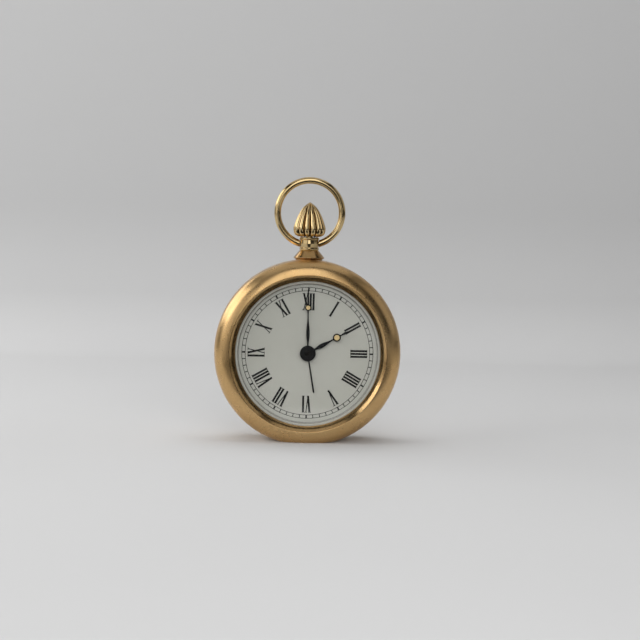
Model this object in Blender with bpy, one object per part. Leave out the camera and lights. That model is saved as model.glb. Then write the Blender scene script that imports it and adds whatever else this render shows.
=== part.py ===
"""Wind-up alarm desk clock in the form of a pocket watch.

A turned brass case stands on a flat foot. It carries a crystal, a dial with three hands, the
movement behind them, a back cover with keys and knobs, and a pendant with a fluted finial and a
swinging bow on top. Metres, +Z up. The origin is the middle of the flat foot, the dial faces -Y,
and depths along Y are measured from the middle plane of the case.
"""

import math

import bmesh
import bpy
from mathutils import Matrix, Vector

MM = 0.001

# Clearances and cutter overrun
SEAT_GAP = 0.3 * MM
RUN_GAP = 0.15 * MM
FINE_GAP = 0.1 * MM
OVERRUN = 1.0 * MM
BLEND = 0.1 * MM

# Facets around each kind of round piece
CASE_FACETS = 40
RING_FACETS = 28
INNER_FACETS = 20
DISC_FACETS = 18
ARBOR_FACETS = 8
PIN_FACETS = 6
HEX_SIDES = 6
CASE_STEPS = 8
SHELL_STEPS = 5
RIM_STEPS = 3
CRYSTAL_STEPS = 2
WINDOW_STEPS = 2
SMOOTH_ANGLE = 35.0

# Tooth form, in shares of the module and of the tooth pitch
ADDENDUM_SHARE = 0.8
DEDENDUM_SHARE = 1.2
TIP_HALF_SHARE = 0.12
ROOT_HALF_SHARE = 0.24
WHEEL_TEETH = 12

# Going train: modules and tooth counts
GREAT_MODULE = 0.48 * MM
GREAT_TEETH = 42
CENTRE_PINION_TEETH = 7
CENTRE_MODULE = 0.3 * MM
CENTRE_TEETH = 48
THIRD_PINION_TEETH = 6
THIRD_MODULE = 0.27 * MM
THIRD_TEETH = 40
FOURTH_PINION_TEETH = 6
FOURTH_MODULE = 0.22 * MM
FOURTH_TEETH = 45
ESCAPE_PINION_TEETH = 6

# Motion work and alarm setting: modules and tooth counts
CANNON_MODULE = 0.5 * MM
CANNON_TEETH = 6
MINUTE_WHEEL_TEETH = 18
HOUR_MODULE = 0.4 * MM
MINUTE_PINION_TEETH = 6
HOUR_TEETH = 24
ALARM_MODULE = 0.47 * MM
ALARM_TEETH = 30
ALARM_PINION_TEETH = 6

# Directions from one arbor to the next, in degrees anticlockwise from +X seen from the front
GREAT_DIRECTION = 198.0
ALARM_GREAT_DIRECTION = -18.0
ALARM_GREAT_DISTANCE = 13.4 * MM
THIRD_DIRECTION = 75.0
FOURTH_DIRECTION = 160.0
ESCAPE_DIRECTION = 100.0
PALLET_DIRECTION = 10.0
BALANCE_DIRECTION = 10.0
MINUTE_WHEEL_DIRECTION = 40.0
ALARM_SET_DIRECTION = 270.0
STRIKE_DIRECTION = 60.0
HAMMER_DIRECTION = 95.0
PALLET_DISTANCE = 4.9 * MM
BALANCE_DISTANCE = 7.4 * MM
HAMMER_DISTANCE = 6.4 * MM

# Alarm strike, its hammer and the button that stops it
STRIKE_PINION_TEETH = 7
STRIKE_TEETH = 20
STRIKE_RADIUS = 5.0 * MM
STRIKE_TOOTH_DEPTH = 1.0 * MM
STRIKE_TOOTH_SHARES = (0.5, 0.55)
HAMMER_ARM_LENGTH = 6.5 * MM
HAMMER_ARM_WIDTH = 0.9 * MM
HAMMER_ARM_ANGLE = 56.0
HAMMER_TAIL_LENGTH = 4.2 * MM
HAMMER_TAIL_ANGLE = 140.0
HAMMER_HEAD_RADIUS = 1.5 * MM
HAMMER_HEAD_LENGTH = 2.4 * MM
HAMMER_STRIKE_ANGLE = 9.5
HAMMER_SETBACK = 1.0 * MM
ANCHOR_REACH = 1.0 * MM
ANCHOR_WIDTH = 3.0 * MM
POST_RADIUS = 1.2 * MM
POST_COLLAR_RADIUS = 1.4 * MM
POST_COLLAR_HEIGHT = 1.0 * MM
POST_DEPTH = 8.0 * MM
STOP_DISTANCE = 3.2 * MM
STOP_LEAD = 28.0
STOP_STEM_RADIUS = 0.9 * MM


def polar(radius, degrees, centre=(0.0, 0.0)):
    """A point in the dial's plane, anticlockwise from +X as seen from the front."""
    angle = math.radians(degrees)
    return centre[0] + radius * math.cos(angle), centre[1] + radius * math.sin(angle)


def pitch_radius(module, teeth):
    return module * teeth / 2


def distance(module, teeth, other_teeth):
    return pitch_radius(module, teeth + other_teeth)


GREAT_DISTANCE = distance(GREAT_MODULE, GREAT_TEETH, CENTRE_PINION_TEETH)
THIRD_DISTANCE = distance(CENTRE_MODULE, CENTRE_TEETH, THIRD_PINION_TEETH)
FOURTH_DISTANCE = distance(THIRD_MODULE, THIRD_TEETH, FOURTH_PINION_TEETH)
ESCAPE_DISTANCE = distance(FOURTH_MODULE, FOURTH_TEETH, ESCAPE_PINION_TEETH)
MINUTE_WHEEL_DISTANCE = distance(CANNON_MODULE, CANNON_TEETH, MINUTE_WHEEL_TEETH)
ALARM_SET_DISTANCE = distance(ALARM_MODULE, ALARM_TEETH, ALARM_PINION_TEETH)
STRIKE_DISTANCE = distance(GREAT_MODULE, GREAT_TEETH, STRIKE_PINION_TEETH)

CENTRE = (0.0, 0.0)
GREAT_PLACE = polar(GREAT_DISTANCE, GREAT_DIRECTION)
ALARM_GREAT_PLACE = polar(ALARM_GREAT_DISTANCE, ALARM_GREAT_DIRECTION)
THIRD_PLACE = polar(THIRD_DISTANCE, THIRD_DIRECTION)
FOURTH_PLACE = polar(FOURTH_DISTANCE, FOURTH_DIRECTION, THIRD_PLACE)
ESCAPE_PLACE = polar(ESCAPE_DISTANCE, ESCAPE_DIRECTION, FOURTH_PLACE)
PALLET_PLACE = polar(PALLET_DISTANCE, PALLET_DIRECTION, ESCAPE_PLACE)
BALANCE_PLACE = polar(BALANCE_DISTANCE, BALANCE_DIRECTION, PALLET_PLACE)
MINUTE_WHEEL_PLACE = polar(MINUTE_WHEEL_DISTANCE, MINUTE_WHEEL_DIRECTION)
ALARM_SET_PLACE = polar(ALARM_SET_DISTANCE, ALARM_SET_DIRECTION)
STRIKE_PLACE = polar(STRIKE_DISTANCE, STRIKE_DIRECTION, ALARM_GREAT_PLACE)
HAMMER_PLACE = polar(HAMMER_DISTANCE, HAMMER_DIRECTION, STRIKE_PLACE)
STOP_PLACE = polar(STOP_DISTANCE, HAMMER_TAIL_ANGLE - STOP_LEAD, HAMMER_PLACE)


def strike_post_place():
    """Where the post stands that the hammer head meets at the end of its stroke."""
    swung = HAMMER_ARM_ANGLE - HAMMER_STRIKE_ANGLE
    head = polar(HAMMER_ARM_LENGTH, swung, HAMMER_PLACE)
    return polar(HAMMER_HEAD_RADIUS + POST_RADIUS + FINE_GAP, swung - 90.0, head)


POST_PLACE = strike_post_place()

# Movement plates, pillars and the ring that holds them in the case
FRONT_PLATE_BORDER = 0.2 * MM
BACK_PLATE_BORDER = 2.67 * MM
PLATE_THICKNESS = 1.2 * MM
RING_WALL = 2.3 * MM
LEDGE_THICKNESS = 1.0 * MM
LEDGE_WIDTH = 3.1 * MM
PILLAR_RADIUS = 1.4 * MM
TENON_RADIUS = 0.8 * MM
NUT_RADIUS = 1.9 * MM
NUT_HEIGHT = 0.9 * MM
PLATE_SCREW_INSET = 1.5 * MM
PLATE_SCREW_ANGLES = (40.0, 160.0, 280.0)
PLATE_SCREW_HEAD = 1.1 * MM
PLATE_SCREW_HEAD_HEIGHT = 0.6 * MM
PLATE_SCREW_SHANK = 0.55 * MM
PLATE_SCREW_REACH = 0.6 * MM
SLOT_WIDTH_SHARE = 0.3
SLOT_DEPTH_SHARE = 0.5

FRONT_PLATE_RADIUS = math.hypot(*POST_PLACE) + POST_COLLAR_RADIUS + FRONT_PLATE_BORDER
BACK_PLATE_RADIUS = math.hypot(*STOP_PLACE) + STOP_STEM_RADIUS + BACK_PLATE_BORDER
RING_INNER = FRONT_PLATE_RADIUS + SEAT_GAP
STACK_RADIUS = RING_INNER + RING_WALL
LEDGE_INNER = FRONT_PLATE_RADIUS - LEDGE_WIDTH
PLATE_SCREW_PLACE = FRONT_PLATE_RADIUS - PLATE_SCREW_INSET

# Shares of the back plate's radius, right of and above its centre
PILLAR_PLACE_SHARES = ((-0.663, 0.511), (0.598, 0.705), (0.549, -0.701), (-0.549, -0.701))

PILLAR_PLACES = [(x * BACK_PLATE_RADIUS, z * BACK_PLATE_RADIUS) for x, z in PILLAR_PLACE_SHARES]

# Wheels of the train, and the steps between their levels from the front plate back
WHEEL_THICKNESS = 0.5 * MM
GREAT_THICKNESS = 0.8 * MM
GREAT_STEP = 0.5 * MM
ESCAPE_STEP = 2.9 * MM
TRAIN_STEP = 1.8 * MM
TRAIN_HEADROOM = 1.5 * MM

TRAIN_SPACE = SEAT_GAP + ESCAPE_STEP + 3 * TRAIN_STEP + WHEEL_THICKNESS + TRAIN_HEADROOM

# Motion work stands, from the front plate forward
CANNON_RISE = 0.3 * MM
MINUTE_WHEEL_STAND = 1.2 * MM
HOUR_WHEEL_STAND = 2.1 * MM
ALARM_WHEEL_STAND = 3.1 * MM
MOTION_HEADROOM = 0.4 * MM

MOTION_SPACE = ALARM_WHEEL_STAND + MOTION_HEADROOM

# Case: a hollow bullnose shell round the movement, cut flat where it stands
CASE_WALL = 6.0 * MM
SHELL_THICKNESS = 1.2 * MM
SHELL_LAND = 2.4 * MM
RIM_WIDTH = 5.2 * MM
RIM_ROLL = 2.2 * MM
LIP_THICKNESS = 0.8 * MM
LIP_WIDTH = 1.8 * MM
COVER_LEDGE = 0.6 * MM
COVER_SEAT_DEPTH = 1.9 * MM
FOOT_CUT = 1.8 * MM
BACK_SPACE = 3.5 * MM

BORE_RADIUS = STACK_RADIUS + SEAT_GAP
OPENING_RADIUS = BORE_RADIUS - LIP_WIDTH
COVER_SEAT_RADIUS = BORE_RADIUS + COVER_LEDGE
CASE_RADIUS = COVER_SEAT_RADIUS + CASE_WALL
RIM_RADIUS = CASE_RADIUS - RIM_WIDTH
CENTRE_HEIGHT = CASE_RADIUS - FOOT_CUT

# Crystal, the ring behind it and the dial
CRYSTAL_RIM = 0.8 * MM
CRYSTAL_WALL = 1.2 * MM
CRYSTAL_BEVEL = 0.9 * MM
CRYSTAL_STAND = 0.7 * MM
CRYSTAL_DOME = 0.7 * MM
REHAUT_HEIGHT = 2.2 * MM
REHAUT_STAND = 1.4 * MM
REHAUT_SLOPE = 0.7 * MM
REHAUT_STEP = 0.5 * MM
DIAL_THICKNESS = 0.5 * MM
DIAL_HOLE = 1.9 * MM
DIAL_FOOT_RADIUS = 0.6 * MM
DIAL_FOOT_INSET = 2.5 * MM
DIAL_FOOT_ANGLES = (70.0, 250.0)

CRYSTAL_RADIUS = OPENING_RADIUS - SEAT_GAP
REHAUT_INNER = OPENING_RADIUS - REHAUT_STAND
DIAL_FOOT_PLACE = FRONT_PLATE_RADIUS - DIAL_FOOT_INSET

# Depths from the case's front to its back, about its middle plane
GLAZING_DEPTH = RIM_ROLL + LIP_THICKNESS + CRYSTAL_RIM + REHAUT_HEIGHT + DIAL_THICKNESS + 3 * SEAT_GAP
MOVEMENT_DEPTH = MOTION_SPACE + TRAIN_SPACE + 2 * PLATE_THICKNESS
CASE_DEPTH = GLAZING_DEPTH + MOVEMENT_DEPTH + BACK_SPACE - SEAT_GAP + COVER_SEAT_DEPTH

CASE_FRONT = -CASE_DEPTH / 2
CASE_BACK = CASE_DEPTH / 2
LIP_FRONT = CASE_FRONT + RIM_ROLL
LIP_BACK = LIP_FRONT + LIP_THICKNESS
CRYSTAL_SEAT = LIP_BACK + SEAT_GAP
CRYSTAL_BACK = CRYSTAL_SEAT + CRYSTAL_RIM
CRYSTAL_SHOULDER = LIP_FRONT
CRYSTAL_TOP = CRYSTAL_SHOULDER - CRYSTAL_STAND
REHAUT_FRONT = CRYSTAL_BACK + SEAT_GAP
REHAUT_BACK = REHAUT_FRONT + REHAUT_HEIGHT
DIAL_FRONT = REHAUT_BACK + SEAT_GAP
DIAL_BACK = DIAL_FRONT + DIAL_THICKNESS
RING_FRONT = DIAL_BACK + SEAT_GAP
FRONT_PLATE_FRONT = DIAL_BACK + MOTION_SPACE
FRONT_PLATE_BACK = FRONT_PLATE_FRONT + PLATE_THICKNESS
LEDGE_FRONT = FRONT_PLATE_BACK + SEAT_GAP
BACK_PLATE_FRONT = FRONT_PLATE_BACK + TRAIN_SPACE
BACK_PLATE_BACK = BACK_PLATE_FRONT + PLATE_THICKNESS
COVER_SEAT = CASE_BACK - COVER_SEAT_DEPTH
RING_BACK = COVER_SEAT

# Back cover
COVER_THICKNESS = 1.0 * MM
COVER_RIM_WIDTH = 4.8 * MM
COVER_PANEL_RISE = 0.5 * MM
COVER_SCREW_ANGLES = (30.0, 150.0, 270.0)
COVER_SCREW_HEAD = 1.25 * MM
COVER_SCREW_HEAD_HEIGHT = 0.7 * MM
COVER_SCREW_SHANK = 0.6 * MM
COVER_SCREW_REACH = 3.0 * MM

COVER_PANEL_RADIUS = COVER_SEAT_RADIUS - COVER_RIM_WIDTH
COVER_FRONT = COVER_SEAT + SEAT_GAP
COVER_BACK = COVER_FRONT + COVER_THICKNESS
PANEL_BACK = COVER_BACK + COVER_PANEL_RISE
COVER_SCREW_PLACE = (RING_INNER + STACK_RADIUS) / 2

# Arbors, pinions and spokes of the train
PINION_LENGTH = 1.0 * MM
ARBOR_RADIUS = 0.35 * MM
PIVOT_PLAY = 0.15 * MM
SPOKES = 3
SPOKE_WIDTH_SHARE = 0.16
WHEEL_RIM_SHARE = 0.8
WHEEL_HUB_SHARE = 0.26
CENTRE_SLEEVE_RADIUS = 1.1 * MM
CENTRE_ARBOR_RADIUS = 0.6 * MM
WINDING_ARBOR_RADIUS = 1.4 * MM
WINDING_PIVOT_RADIUS = 0.9 * MM
RATCHET_RADIUS = 3.4 * MM
RATCHET_TEETH = 10
RATCHET_DEPTH = 0.6 * MM
RATCHET_TOOTH_SHARES = (0.1, 0.2)

# Levels of the train, in order from the front plate back
TRAIN_START = FRONT_PLATE_BACK + SEAT_GAP
GREAT_LEVEL = TRAIN_START + GREAT_STEP
RATCHET_LEVEL = GREAT_LEVEL + GREAT_THICKNESS + SEAT_GAP
SPRING_LEVEL = RATCHET_LEVEL + WHEEL_THICKNESS + SEAT_GAP
ESCAPE_LEVEL = TRAIN_START + ESCAPE_STEP
FOURTH_LEVEL = ESCAPE_LEVEL + TRAIN_STEP
THIRD_LEVEL = FOURTH_LEVEL + TRAIN_STEP
CENTRE_LEVEL = THIRD_LEVEL + TRAIN_STEP
HAMMER_LEVEL = CENTRE_LEVEL - HAMMER_SETBACK
TRAIN_END = BACK_PLATE_FRONT - SEAT_GAP

# Mainsprings
SPRING_WIDTH = 4.8 * MM
SPRING_STRIP = 0.3 * MM
SPRING_OUTER = 9.2 * MM
SPRING_TURNS = 4
SPRING_STEPS = 9

# Escapement and balance
ESCAPE_TEETH = 15
ESCAPE_RADIUS = 3.3 * MM
ESCAPE_TOOTH_DEPTH = 0.8 * MM
ESCAPE_TOOTH_SHARES = (0.5, 0.6)
PALLET_PIN_CIRCLE = 4.05 * MM
PALLET_PIN_SPREAD = 50.0
PALLET_PIN_RADIUS = 0.2 * MM
LEVER_WIDTH = 0.8 * MM
LEVER_SETBACK = 0.35 * MM
LEVER_HORN = 0.9 * MM
LEVER_SLOT = 0.5 * MM
ROLLER_RADIUS = 1.1 * MM
ROLLER_THICKNESS = 0.4 * MM
IMPULSE_PIN_RADIUS = 0.2 * MM
IMPULSE_PIN_LENGTH = 0.25 * MM
BALANCE_RADIUS = 6.2 * MM
BALANCE_RIM = 0.9 * MM
BALANCE_THICKNESS = 0.8 * MM
BALANCE_ARM = 0.9 * MM
BALANCE_HUB = 1.3 * MM
BALANCE_LIFT = 0.3 * MM
COLLET_RADIUS = 0.8 * MM
HAIRSPRING_STRIP = 0.12 * MM
HAIRSPRING_WIDTH = 0.4 * MM
HAIRSPRING_INNER = 1.2 * MM
HAIRSPRING_OUTER = 3.6 * MM
HAIRSPRING_TURNS = 3
HAIRSPRING_STEPS = 10
HAIRSPRING_LIFT = 1.0 * MM
REGULATOR_HUB = 1.7 * MM
REGULATOR_LENGTH = 6.8 * MM
REGULATOR_WIDTH = 0.9 * MM
REGULATOR_THICKNESS = 0.5 * MM
REGULATOR_TIP_RADIUS = 0.5 * MM
REGULATOR_TIP_STAND = 0.9 * MM
REGULATOR_DIRECTION = 75.0
REGULATOR_SWING = 20.0
REGULATOR_SLOT_STEPS = 8

# Motion work levels and pipes
MINUTE_STUD_RADIUS = 0.45 * MM
MINUTE_BOSS_RADIUS = 0.8 * MM
PIPE_WALL = 0.35 * MM

MINUTE_WHEEL_LEVEL = FRONT_PLATE_FRONT - MINUTE_WHEEL_STAND
HOUR_LEVEL = FRONT_PLATE_FRONT - HOUR_WHEEL_STAND
ALARM_LEVEL = FRONT_PLATE_FRONT - ALARM_WHEEL_STAND

# Hands, in order from the dial out
HAND_THICKNESS = 0.3 * MM
HAND_PITCH = 0.7 * MM
ALARM_HAND_RISE = 0.6 * MM
ALARM_HAND_LENGTH = 17.5 * MM
ALARM_HAND_HALF_WIDTH = 0.25 * MM
ALARM_HUB_RADIUS = 2.6 * MM
ALARM_HAND_ANGLE = 170.0
HOUR_HUB_RADIUS = 2.9 * MM
HOUR_HAND_LENGTH = 20.4 * MM
HOUR_DOT_RADIUS = 1.7 * MM
HOUR_LUME_RADIUS = 1.1 * MM
HOUR_HAND_ANGLE = 60.5
MINUTE_HUB_RADIUS = 3.4 * MM
MINUTE_TIP_GAP = 1.8 * MM
MINUTE_DOT_RADIUS = 1.25 * MM
MINUTE_LUME_RADIUS = 0.8 * MM
MINUTE_HAND_ANGLE = -0.7
HAND_NUT_RADIUS = 1.1 * MM
HAND_NUT_HEIGHT = 0.5 * MM
HAND_STEM_HALF_WIDTH = 0.2 * MM
MINUTE_LEAF_HALF_WIDTH = 0.7 * MM
HOUR_LEAF_HALF_WIDTH = 0.9 * MM
HUB_STEPS = 12
DOT_STEPS = 5
DOT_HALF_ANGLE = 70.0

# Shares of a hand's length where its blade changes width, and where its luminous dot is
MINUTE_BLADE_SHARES = (0.30, 0.57, 0.64, 0.75, 0.90)
HOUR_BLADE_SHARES = (0.33, 0.59, 0.79, 0.90)
ALARM_TIP_SHARE = 0.97
MINUTE_DOT_SHARE = 0.69
HOUR_DOT_SHARE = 0.696

MINUTE_HAND_LENGTH = REHAUT_INNER - MINUTE_TIP_GAP
MINUTE_DOT_PLACE = MINUTE_DOT_SHARE * MINUTE_HAND_LENGTH
HOUR_DOT_PLACE = HOUR_DOT_SHARE * HOUR_HAND_LENGTH
ALARM_HAND_FRONT = DIAL_FRONT - ALARM_HAND_RISE - HAND_THICKNESS
HOUR_HAND_FRONT = ALARM_HAND_FRONT - HAND_PITCH
MINUTE_HAND_FRONT = HOUR_HAND_FRONT - HAND_PITCH
HAND_NUT_BACK = MINUTE_HAND_FRONT - FINE_GAP
ARBOR_TIP = HAND_NUT_BACK - HAND_NUT_HEIGHT

HOUR_PIPE_INNER = CENTRE_ARBOR_RADIUS + RUN_GAP
HOUR_PIPE_OUTER = HOUR_PIPE_INNER + PIPE_WALL
ALARM_PIPE_INNER = HOUR_PIPE_OUTER + RUN_GAP
ALARM_PIPE_OUTER = ALARM_PIPE_INNER + PIPE_WALL

# Keys and knobs on the back
KEY_STEM_RADIUS = 2.1 * MM
KEY_STEM_LENGTH = 4.0 * MM
KEY_WING_WIDTH = 13.0 * MM
KEY_WING_HEIGHT = 6.5 * MM
KEY_WING_THICKNESS = 1.4 * MM
KEY_WING_SINK = 1.2 * MM
KEY_WING_FACETS = 8
KEY_WING_POWER = 0.7
KEY_SOCKET_DEPTH = 3.0 * MM
HAND_KNOB_RADIUS = 3.6 * MM
ALARM_KNOB_RADIUS = 3.1 * MM
KNOB_HEIGHT = 3.2 * MM
KNOB_FLUTES = 12
KNOB_FLUTE_DEPTH = 0.25 * MM
KNOB_RIDGE_SHARE = 0.3
KNOB_SOCKET_DEPTH = 2.4 * MM
STOP_CAP_RADIUS = 2.2 * MM
STOP_CAP_HEIGHT = 1.6 * MM
STOP_EDGE_HEIGHT_SHARE = 0.7
STOP_EDGE_RADIUS_SHARE = 0.8
STOP_TRAVEL = 2.5 * MM

# Pendant, bow and finial
PENDANT_SEAT_RADIUS = 5.8 * MM
PENDANT_FLARE_RADIUS = 6.6 * MM
PENDANT_FOOT_HEIGHT = 1.8 * MM
PENDANT_CONE_HEIGHT = 2.6 * MM
PENDANT_CONE_SPREAD = 0.3 * MM
PENDANT_LIP_SHARES = (0.25, 0.5, 0.7)
PENDANT_NECK_RADIUS = 3.9 * MM
PENDANT_NECK_HEIGHT = 5.5 * MM
PENDANT_BEAD = 0.35 * MM
PENDANT_BEAD_HEIGHT = 0.9 * MM
PENDANT_SPOT_DROP = 0.7 * MM
STUD_RADIUS = 2.0 * MM
PENDANT_NUT_RADIUS = 3.4 * MM
PENDANT_NUT_HEIGHT = 1.8 * MM
STUD_TIP = 0.5 * MM
FINIAL_STUD_RADIUS = 1.5 * MM
FINIAL_STUD_LENGTH = 3.0 * MM
FINIAL_HEIGHT = 15.0 * MM
FINIAL_RADIUS = 7.0 * MM
FINIAL_LOBES = 14
FINIAL_LOBE_POINTS = 4
FINIAL_LOBE_DEPTH_SHARE = 0.15
FINIAL_LOBE_FADE = 6.0
BOW_RADIUS = 13.9 * MM
BOW_WIRE_RADIUS = 1.46 * MM
BOW_RISE = 13.3 * MM
BOW_PIN_RADIUS = 0.8 * MM
BOW_PIN_REACH = 1.2 * MM
BOW_FACETS = 8
BOW_STEPS = 28

PENDANT_BASE = CENTRE_HEIGHT + CASE_RADIUS - PENDANT_SPOT_DROP + SEAT_GAP
NECK_BASE = PENDANT_BASE + PENDANT_FOOT_HEIGHT + PENDANT_CONE_HEIGHT
NECK_TOP = NECK_BASE + PENDANT_NECK_HEIGHT
BOW_PIVOT = NECK_BASE + PENDANT_NECK_HEIGHT / 2
FINIAL_BASE = NECK_TOP + FINE_GAP
PENDANT_NUT_TOP = CASE_RADIUS - SHELL_THICKNESS - 2 * SEAT_GAP
PENDANT_NUT_BASE = PENDANT_NUT_TOP - PENDANT_NUT_HEIGHT

# Shares of the finial's height and of its radius, from its seat to its tip
FINIAL_OUTLINE_SHARES = (
    (0.00, 0.55), (0.04, 0.80), (0.12, 0.95), (0.26, 1.00), (0.42, 0.90),
    (0.58, 0.77), (0.74, 0.58), (0.88, 0.35), (0.97, 0.11),
)

# Colours, roughness and metallic value
FINISHES = {
    "case_brass": ((0.48, 0.33, 0.14), 0.28, 1.0),
    "polished_brass": ((0.55, 0.40, 0.18), 0.18, 1.0),
    "movement_brass": ((0.60, 0.46, 0.22), 0.35, 1.0),
    "steel": ((0.50, 0.50, 0.51), 0.30, 1.0),
    "blued_spring": ((0.10, 0.12, 0.20), 0.30, 1.0),
    "dial_enamel": ((0.72, 0.72, 0.68), 0.45, 0.0),
    "hand_black": ((0.012, 0.012, 0.012), 0.35, 0.0),
    "lume": ((0.75, 0.58, 0.28), 0.70, 0.0),
    "crystal": ((0.92, 0.93, 0.93), 0.03, 0.0),
}


def clear_scene():
    for item in list(bpy.data.objects):
        bpy.data.objects.remove(item)


def finish(name):
    """The shared material of one finish."""
    found = bpy.data.materials.get(name)
    if found:
        return found
    colour, roughness, metallic = FINISHES[name]
    made = bpy.data.materials.new(name)
    made.use_nodes = True
    shader = made.node_tree.nodes["Principled BSDF"]
    shader.inputs["Base Color"].default_value = (*colour, 1.0)
    shader.inputs["Roughness"].default_value = roughness
    shader.inputs["Metallic"].default_value = metallic
    made.diffuse_color = (*colour, 1.0)
    return made


def circle(radius, facets, centre=(0.0, 0.0)):
    return [polar(radius, 360.0 * (i + 0.5) / facets, centre) for i in range(facets)]


def place(mesh, name, at, look):
    """An object for a mesh measured from its own axis, set at a point of the dial's plane."""
    made = bpy.data.objects.new(name, mesh)
    bpy.context.scene.collection.objects.link(made)
    made.location = Vector((at[0], 0.0, CENTRE_HEIGHT + at[1]))
    mesh.materials.clear()
    mesh.materials.append(finish(look))
    mesh.shade_smooth()
    mesh.set_sharp_from_angle(angle=math.radians(SMOOTH_ANGLE))
    return made


def to_mesh(bm, name):
    bmesh.ops.recalc_face_normals(bm, faces=bm.faces)
    mesh = bpy.data.meshes.new(name)
    bm.to_mesh(mesh)
    bm.free()
    return mesh


def lathe(name, profile, facets, closed=False):
    """A profile of (radius, depth) points turned about Y. Points of radius zero close it on the axis."""
    bm = bmesh.new()
    rings = []
    for radius, depth in profile:
        if radius == 0:
            rings.append([bm.verts.new((0.0, depth, 0.0))] * facets)
            continue
        ring = [bm.verts.new((x, depth, z)) for x, z in circle(radius, facets)]
        rings.append(ring)
    pairs = list(zip(rings, rings[1:]))
    if closed:
        pairs.append((rings[-1], rings[0]))
    for lower, upper in pairs:
        for i in range(facets):
            j = (i + 1) % facets
            corners = []
            for vert in (lower[i], lower[j], upper[j], upper[i]):
                if vert not in corners:
                    corners.append(vert)
            if len(corners) > 2:
                bm.faces.new(corners)
    return to_mesh(bm, name)


def prism(name, outlines, front, back):
    """Closed outlines in the dial's plane, the first the outer one and the rest holes, extruded along Y."""
    bm = bmesh.new()
    edges = []
    for outline in outlines:
        verts = [bm.verts.new((x, front, z)) for x, z in outline]
        edges += [bm.edges.new((verts[i - 1], verts[i])) for i in range(len(verts))]
    bmesh.ops.triangle_fill(bm, use_beauty=True, use_dissolve=False, edges=edges)
    grown = bmesh.ops.extrude_face_region(bm, geom=list(bm.faces))
    moved = [item for item in grown["geom"] if isinstance(item, bmesh.types.BMVert)]
    bmesh.ops.translate(bm, verts=moved, vec=(0.0, back - front, 0.0))
    return to_mesh(bm, name)


def turned(mesh, degrees, axis, offset=(0.0, 0.0, 0.0)):
    """The mesh turned about an axis through its origin and then moved."""
    mesh.transform(Matrix.Translation(offset) @ Matrix.Rotation(math.radians(degrees), 4, axis))
    return mesh


def upright(mesh):
    """A mesh turned about Y stood up, so that its depths become heights over the dial's centre."""
    return turned(mesh, 90.0, "X")


def combine(mesh, others, operation):
    """A mesh joined with, or cut by, other closed meshes one after another."""
    for other in others:
        body = bpy.data.objects.new("body", mesh)
        tool = bpy.data.objects.new("tool", other)
        for item in (body, tool):
            bpy.context.scene.collection.objects.link(item)
        step = body.modifiers.new("combine", "BOOLEAN")
        step.operation = operation
        step.solver = "EXACT"
        step.object = tool
        graph = bpy.context.evaluated_depsgraph_get()
        result = bpy.data.meshes.new_from_object(body.evaluated_get(graph))
        for item in (body, tool):
            bpy.data.objects.remove(item)
        mesh = result
    return mesh


def fused(mesh, *others):
    return combine(mesh, others, "UNION")


def cut(mesh, *others):
    return combine(mesh, others, "DIFFERENCE")


def rod(radius, front, back, facets=ARBOR_FACETS, centre=(0.0, 0.0)):
    return prism("rod", [circle(radius, facets, centre)], front, back)


def block(corner, opposite):
    """A plain box between two corners."""
    (x0, y0, z0), (x1, y1, z1) = corner, opposite
    return prism("block", [[(x0, z0), (x1, z0), (x1, z1), (x0, z1)]], y0, y1)


def tip_radius(module, teeth):
    return pitch_radius(module, teeth) + ADDENDUM_SHARE * module


def gear_outline(module, teeth, phase):
    """Straight-flanked teeth, flat on a pinion and pointed on a wheel, one centred on the phase."""
    root = pitch_radius(module, teeth) - DEDENDUM_SHARE * module
    tip = tip_radius(module, teeth)
    pitch = 360.0 / teeth
    corners = ((root, -0.5), (tip, 0.0))
    if teeth < WHEEL_TEETH:
        corners = (
            (root, -ROOT_HALF_SHARE), (tip, -TIP_HALF_SHARE),
            (tip, TIP_HALF_SHARE), (root, ROOT_HALF_SHARE),
        )
    return [polar(radius, phase + pitch * (i + share)) for i in range(teeth) for radius, share in corners]


def saw_outline(radius, depth, teeth, shares):
    """Raked teeth: each rises from its root to a tip and falls back, at shares of the pitch."""
    tip_share, root_share = shares
    pitch = 360.0 / teeth
    corners = ((radius - depth, 0.0), (radius, tip_share), (radius - depth, root_share))
    return [polar(r, pitch * (i + share)) for i in range(teeth) for r, share in corners]


def spoke_windows(outer, inner, spokes, width_share):
    """The windows between the spokes of a wheel."""
    windows = []
    sector = 360.0 / spokes
    for i in range(spokes):
        start = sector * (i + width_share)
        end = sector * (i + 1 - width_share)
        steps = [start + (end - start) * k / WINDOW_STEPS for k in range(WINDOW_STEPS + 1)]
        windows.append([polar(outer, a) for a in steps] + [polar(inner, a) for a in reversed(steps)])
    return windows


def wheel_prism(module, teeth, phase, level, thickness, bore, spoked=True):
    """A toothed wheel with its spokes."""
    outlines = [gear_outline(module, teeth, phase)]
    if spoked:
        size = pitch_radius(module, teeth)
        rim = WHEEL_RIM_SHARE * size
        hub = max(WHEEL_HUB_SHARE * size, bore + PIPE_WALL)
        outlines += spoke_windows(rim, hub, SPOKES, SPOKE_WIDTH_SHARE)
    if bore > 0:
        outlines.append(circle(bore, ARBOR_FACETS))
    return prism("wheel", outlines, level, level + thickness)


def meshed(phase, teeth, other_teeth, degrees):
    """The phase of a wheel that lies in a direction from another one and runs in its teeth."""
    return degrees + 180.0 - (phase - degrees) * teeth / other_teeth + 180.0 / other_teeth


def bullnose(width, half_depth, steps):
    """Half an ellipse of (radius, depth) points from front to back, standing out from the rim."""
    angles = [math.pi * (i / steps - 0.5) for i in range(steps + 1)]
    return [(RIM_RADIUS + width * math.cos(a), half_depth * math.sin(a)) for a in angles]


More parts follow.
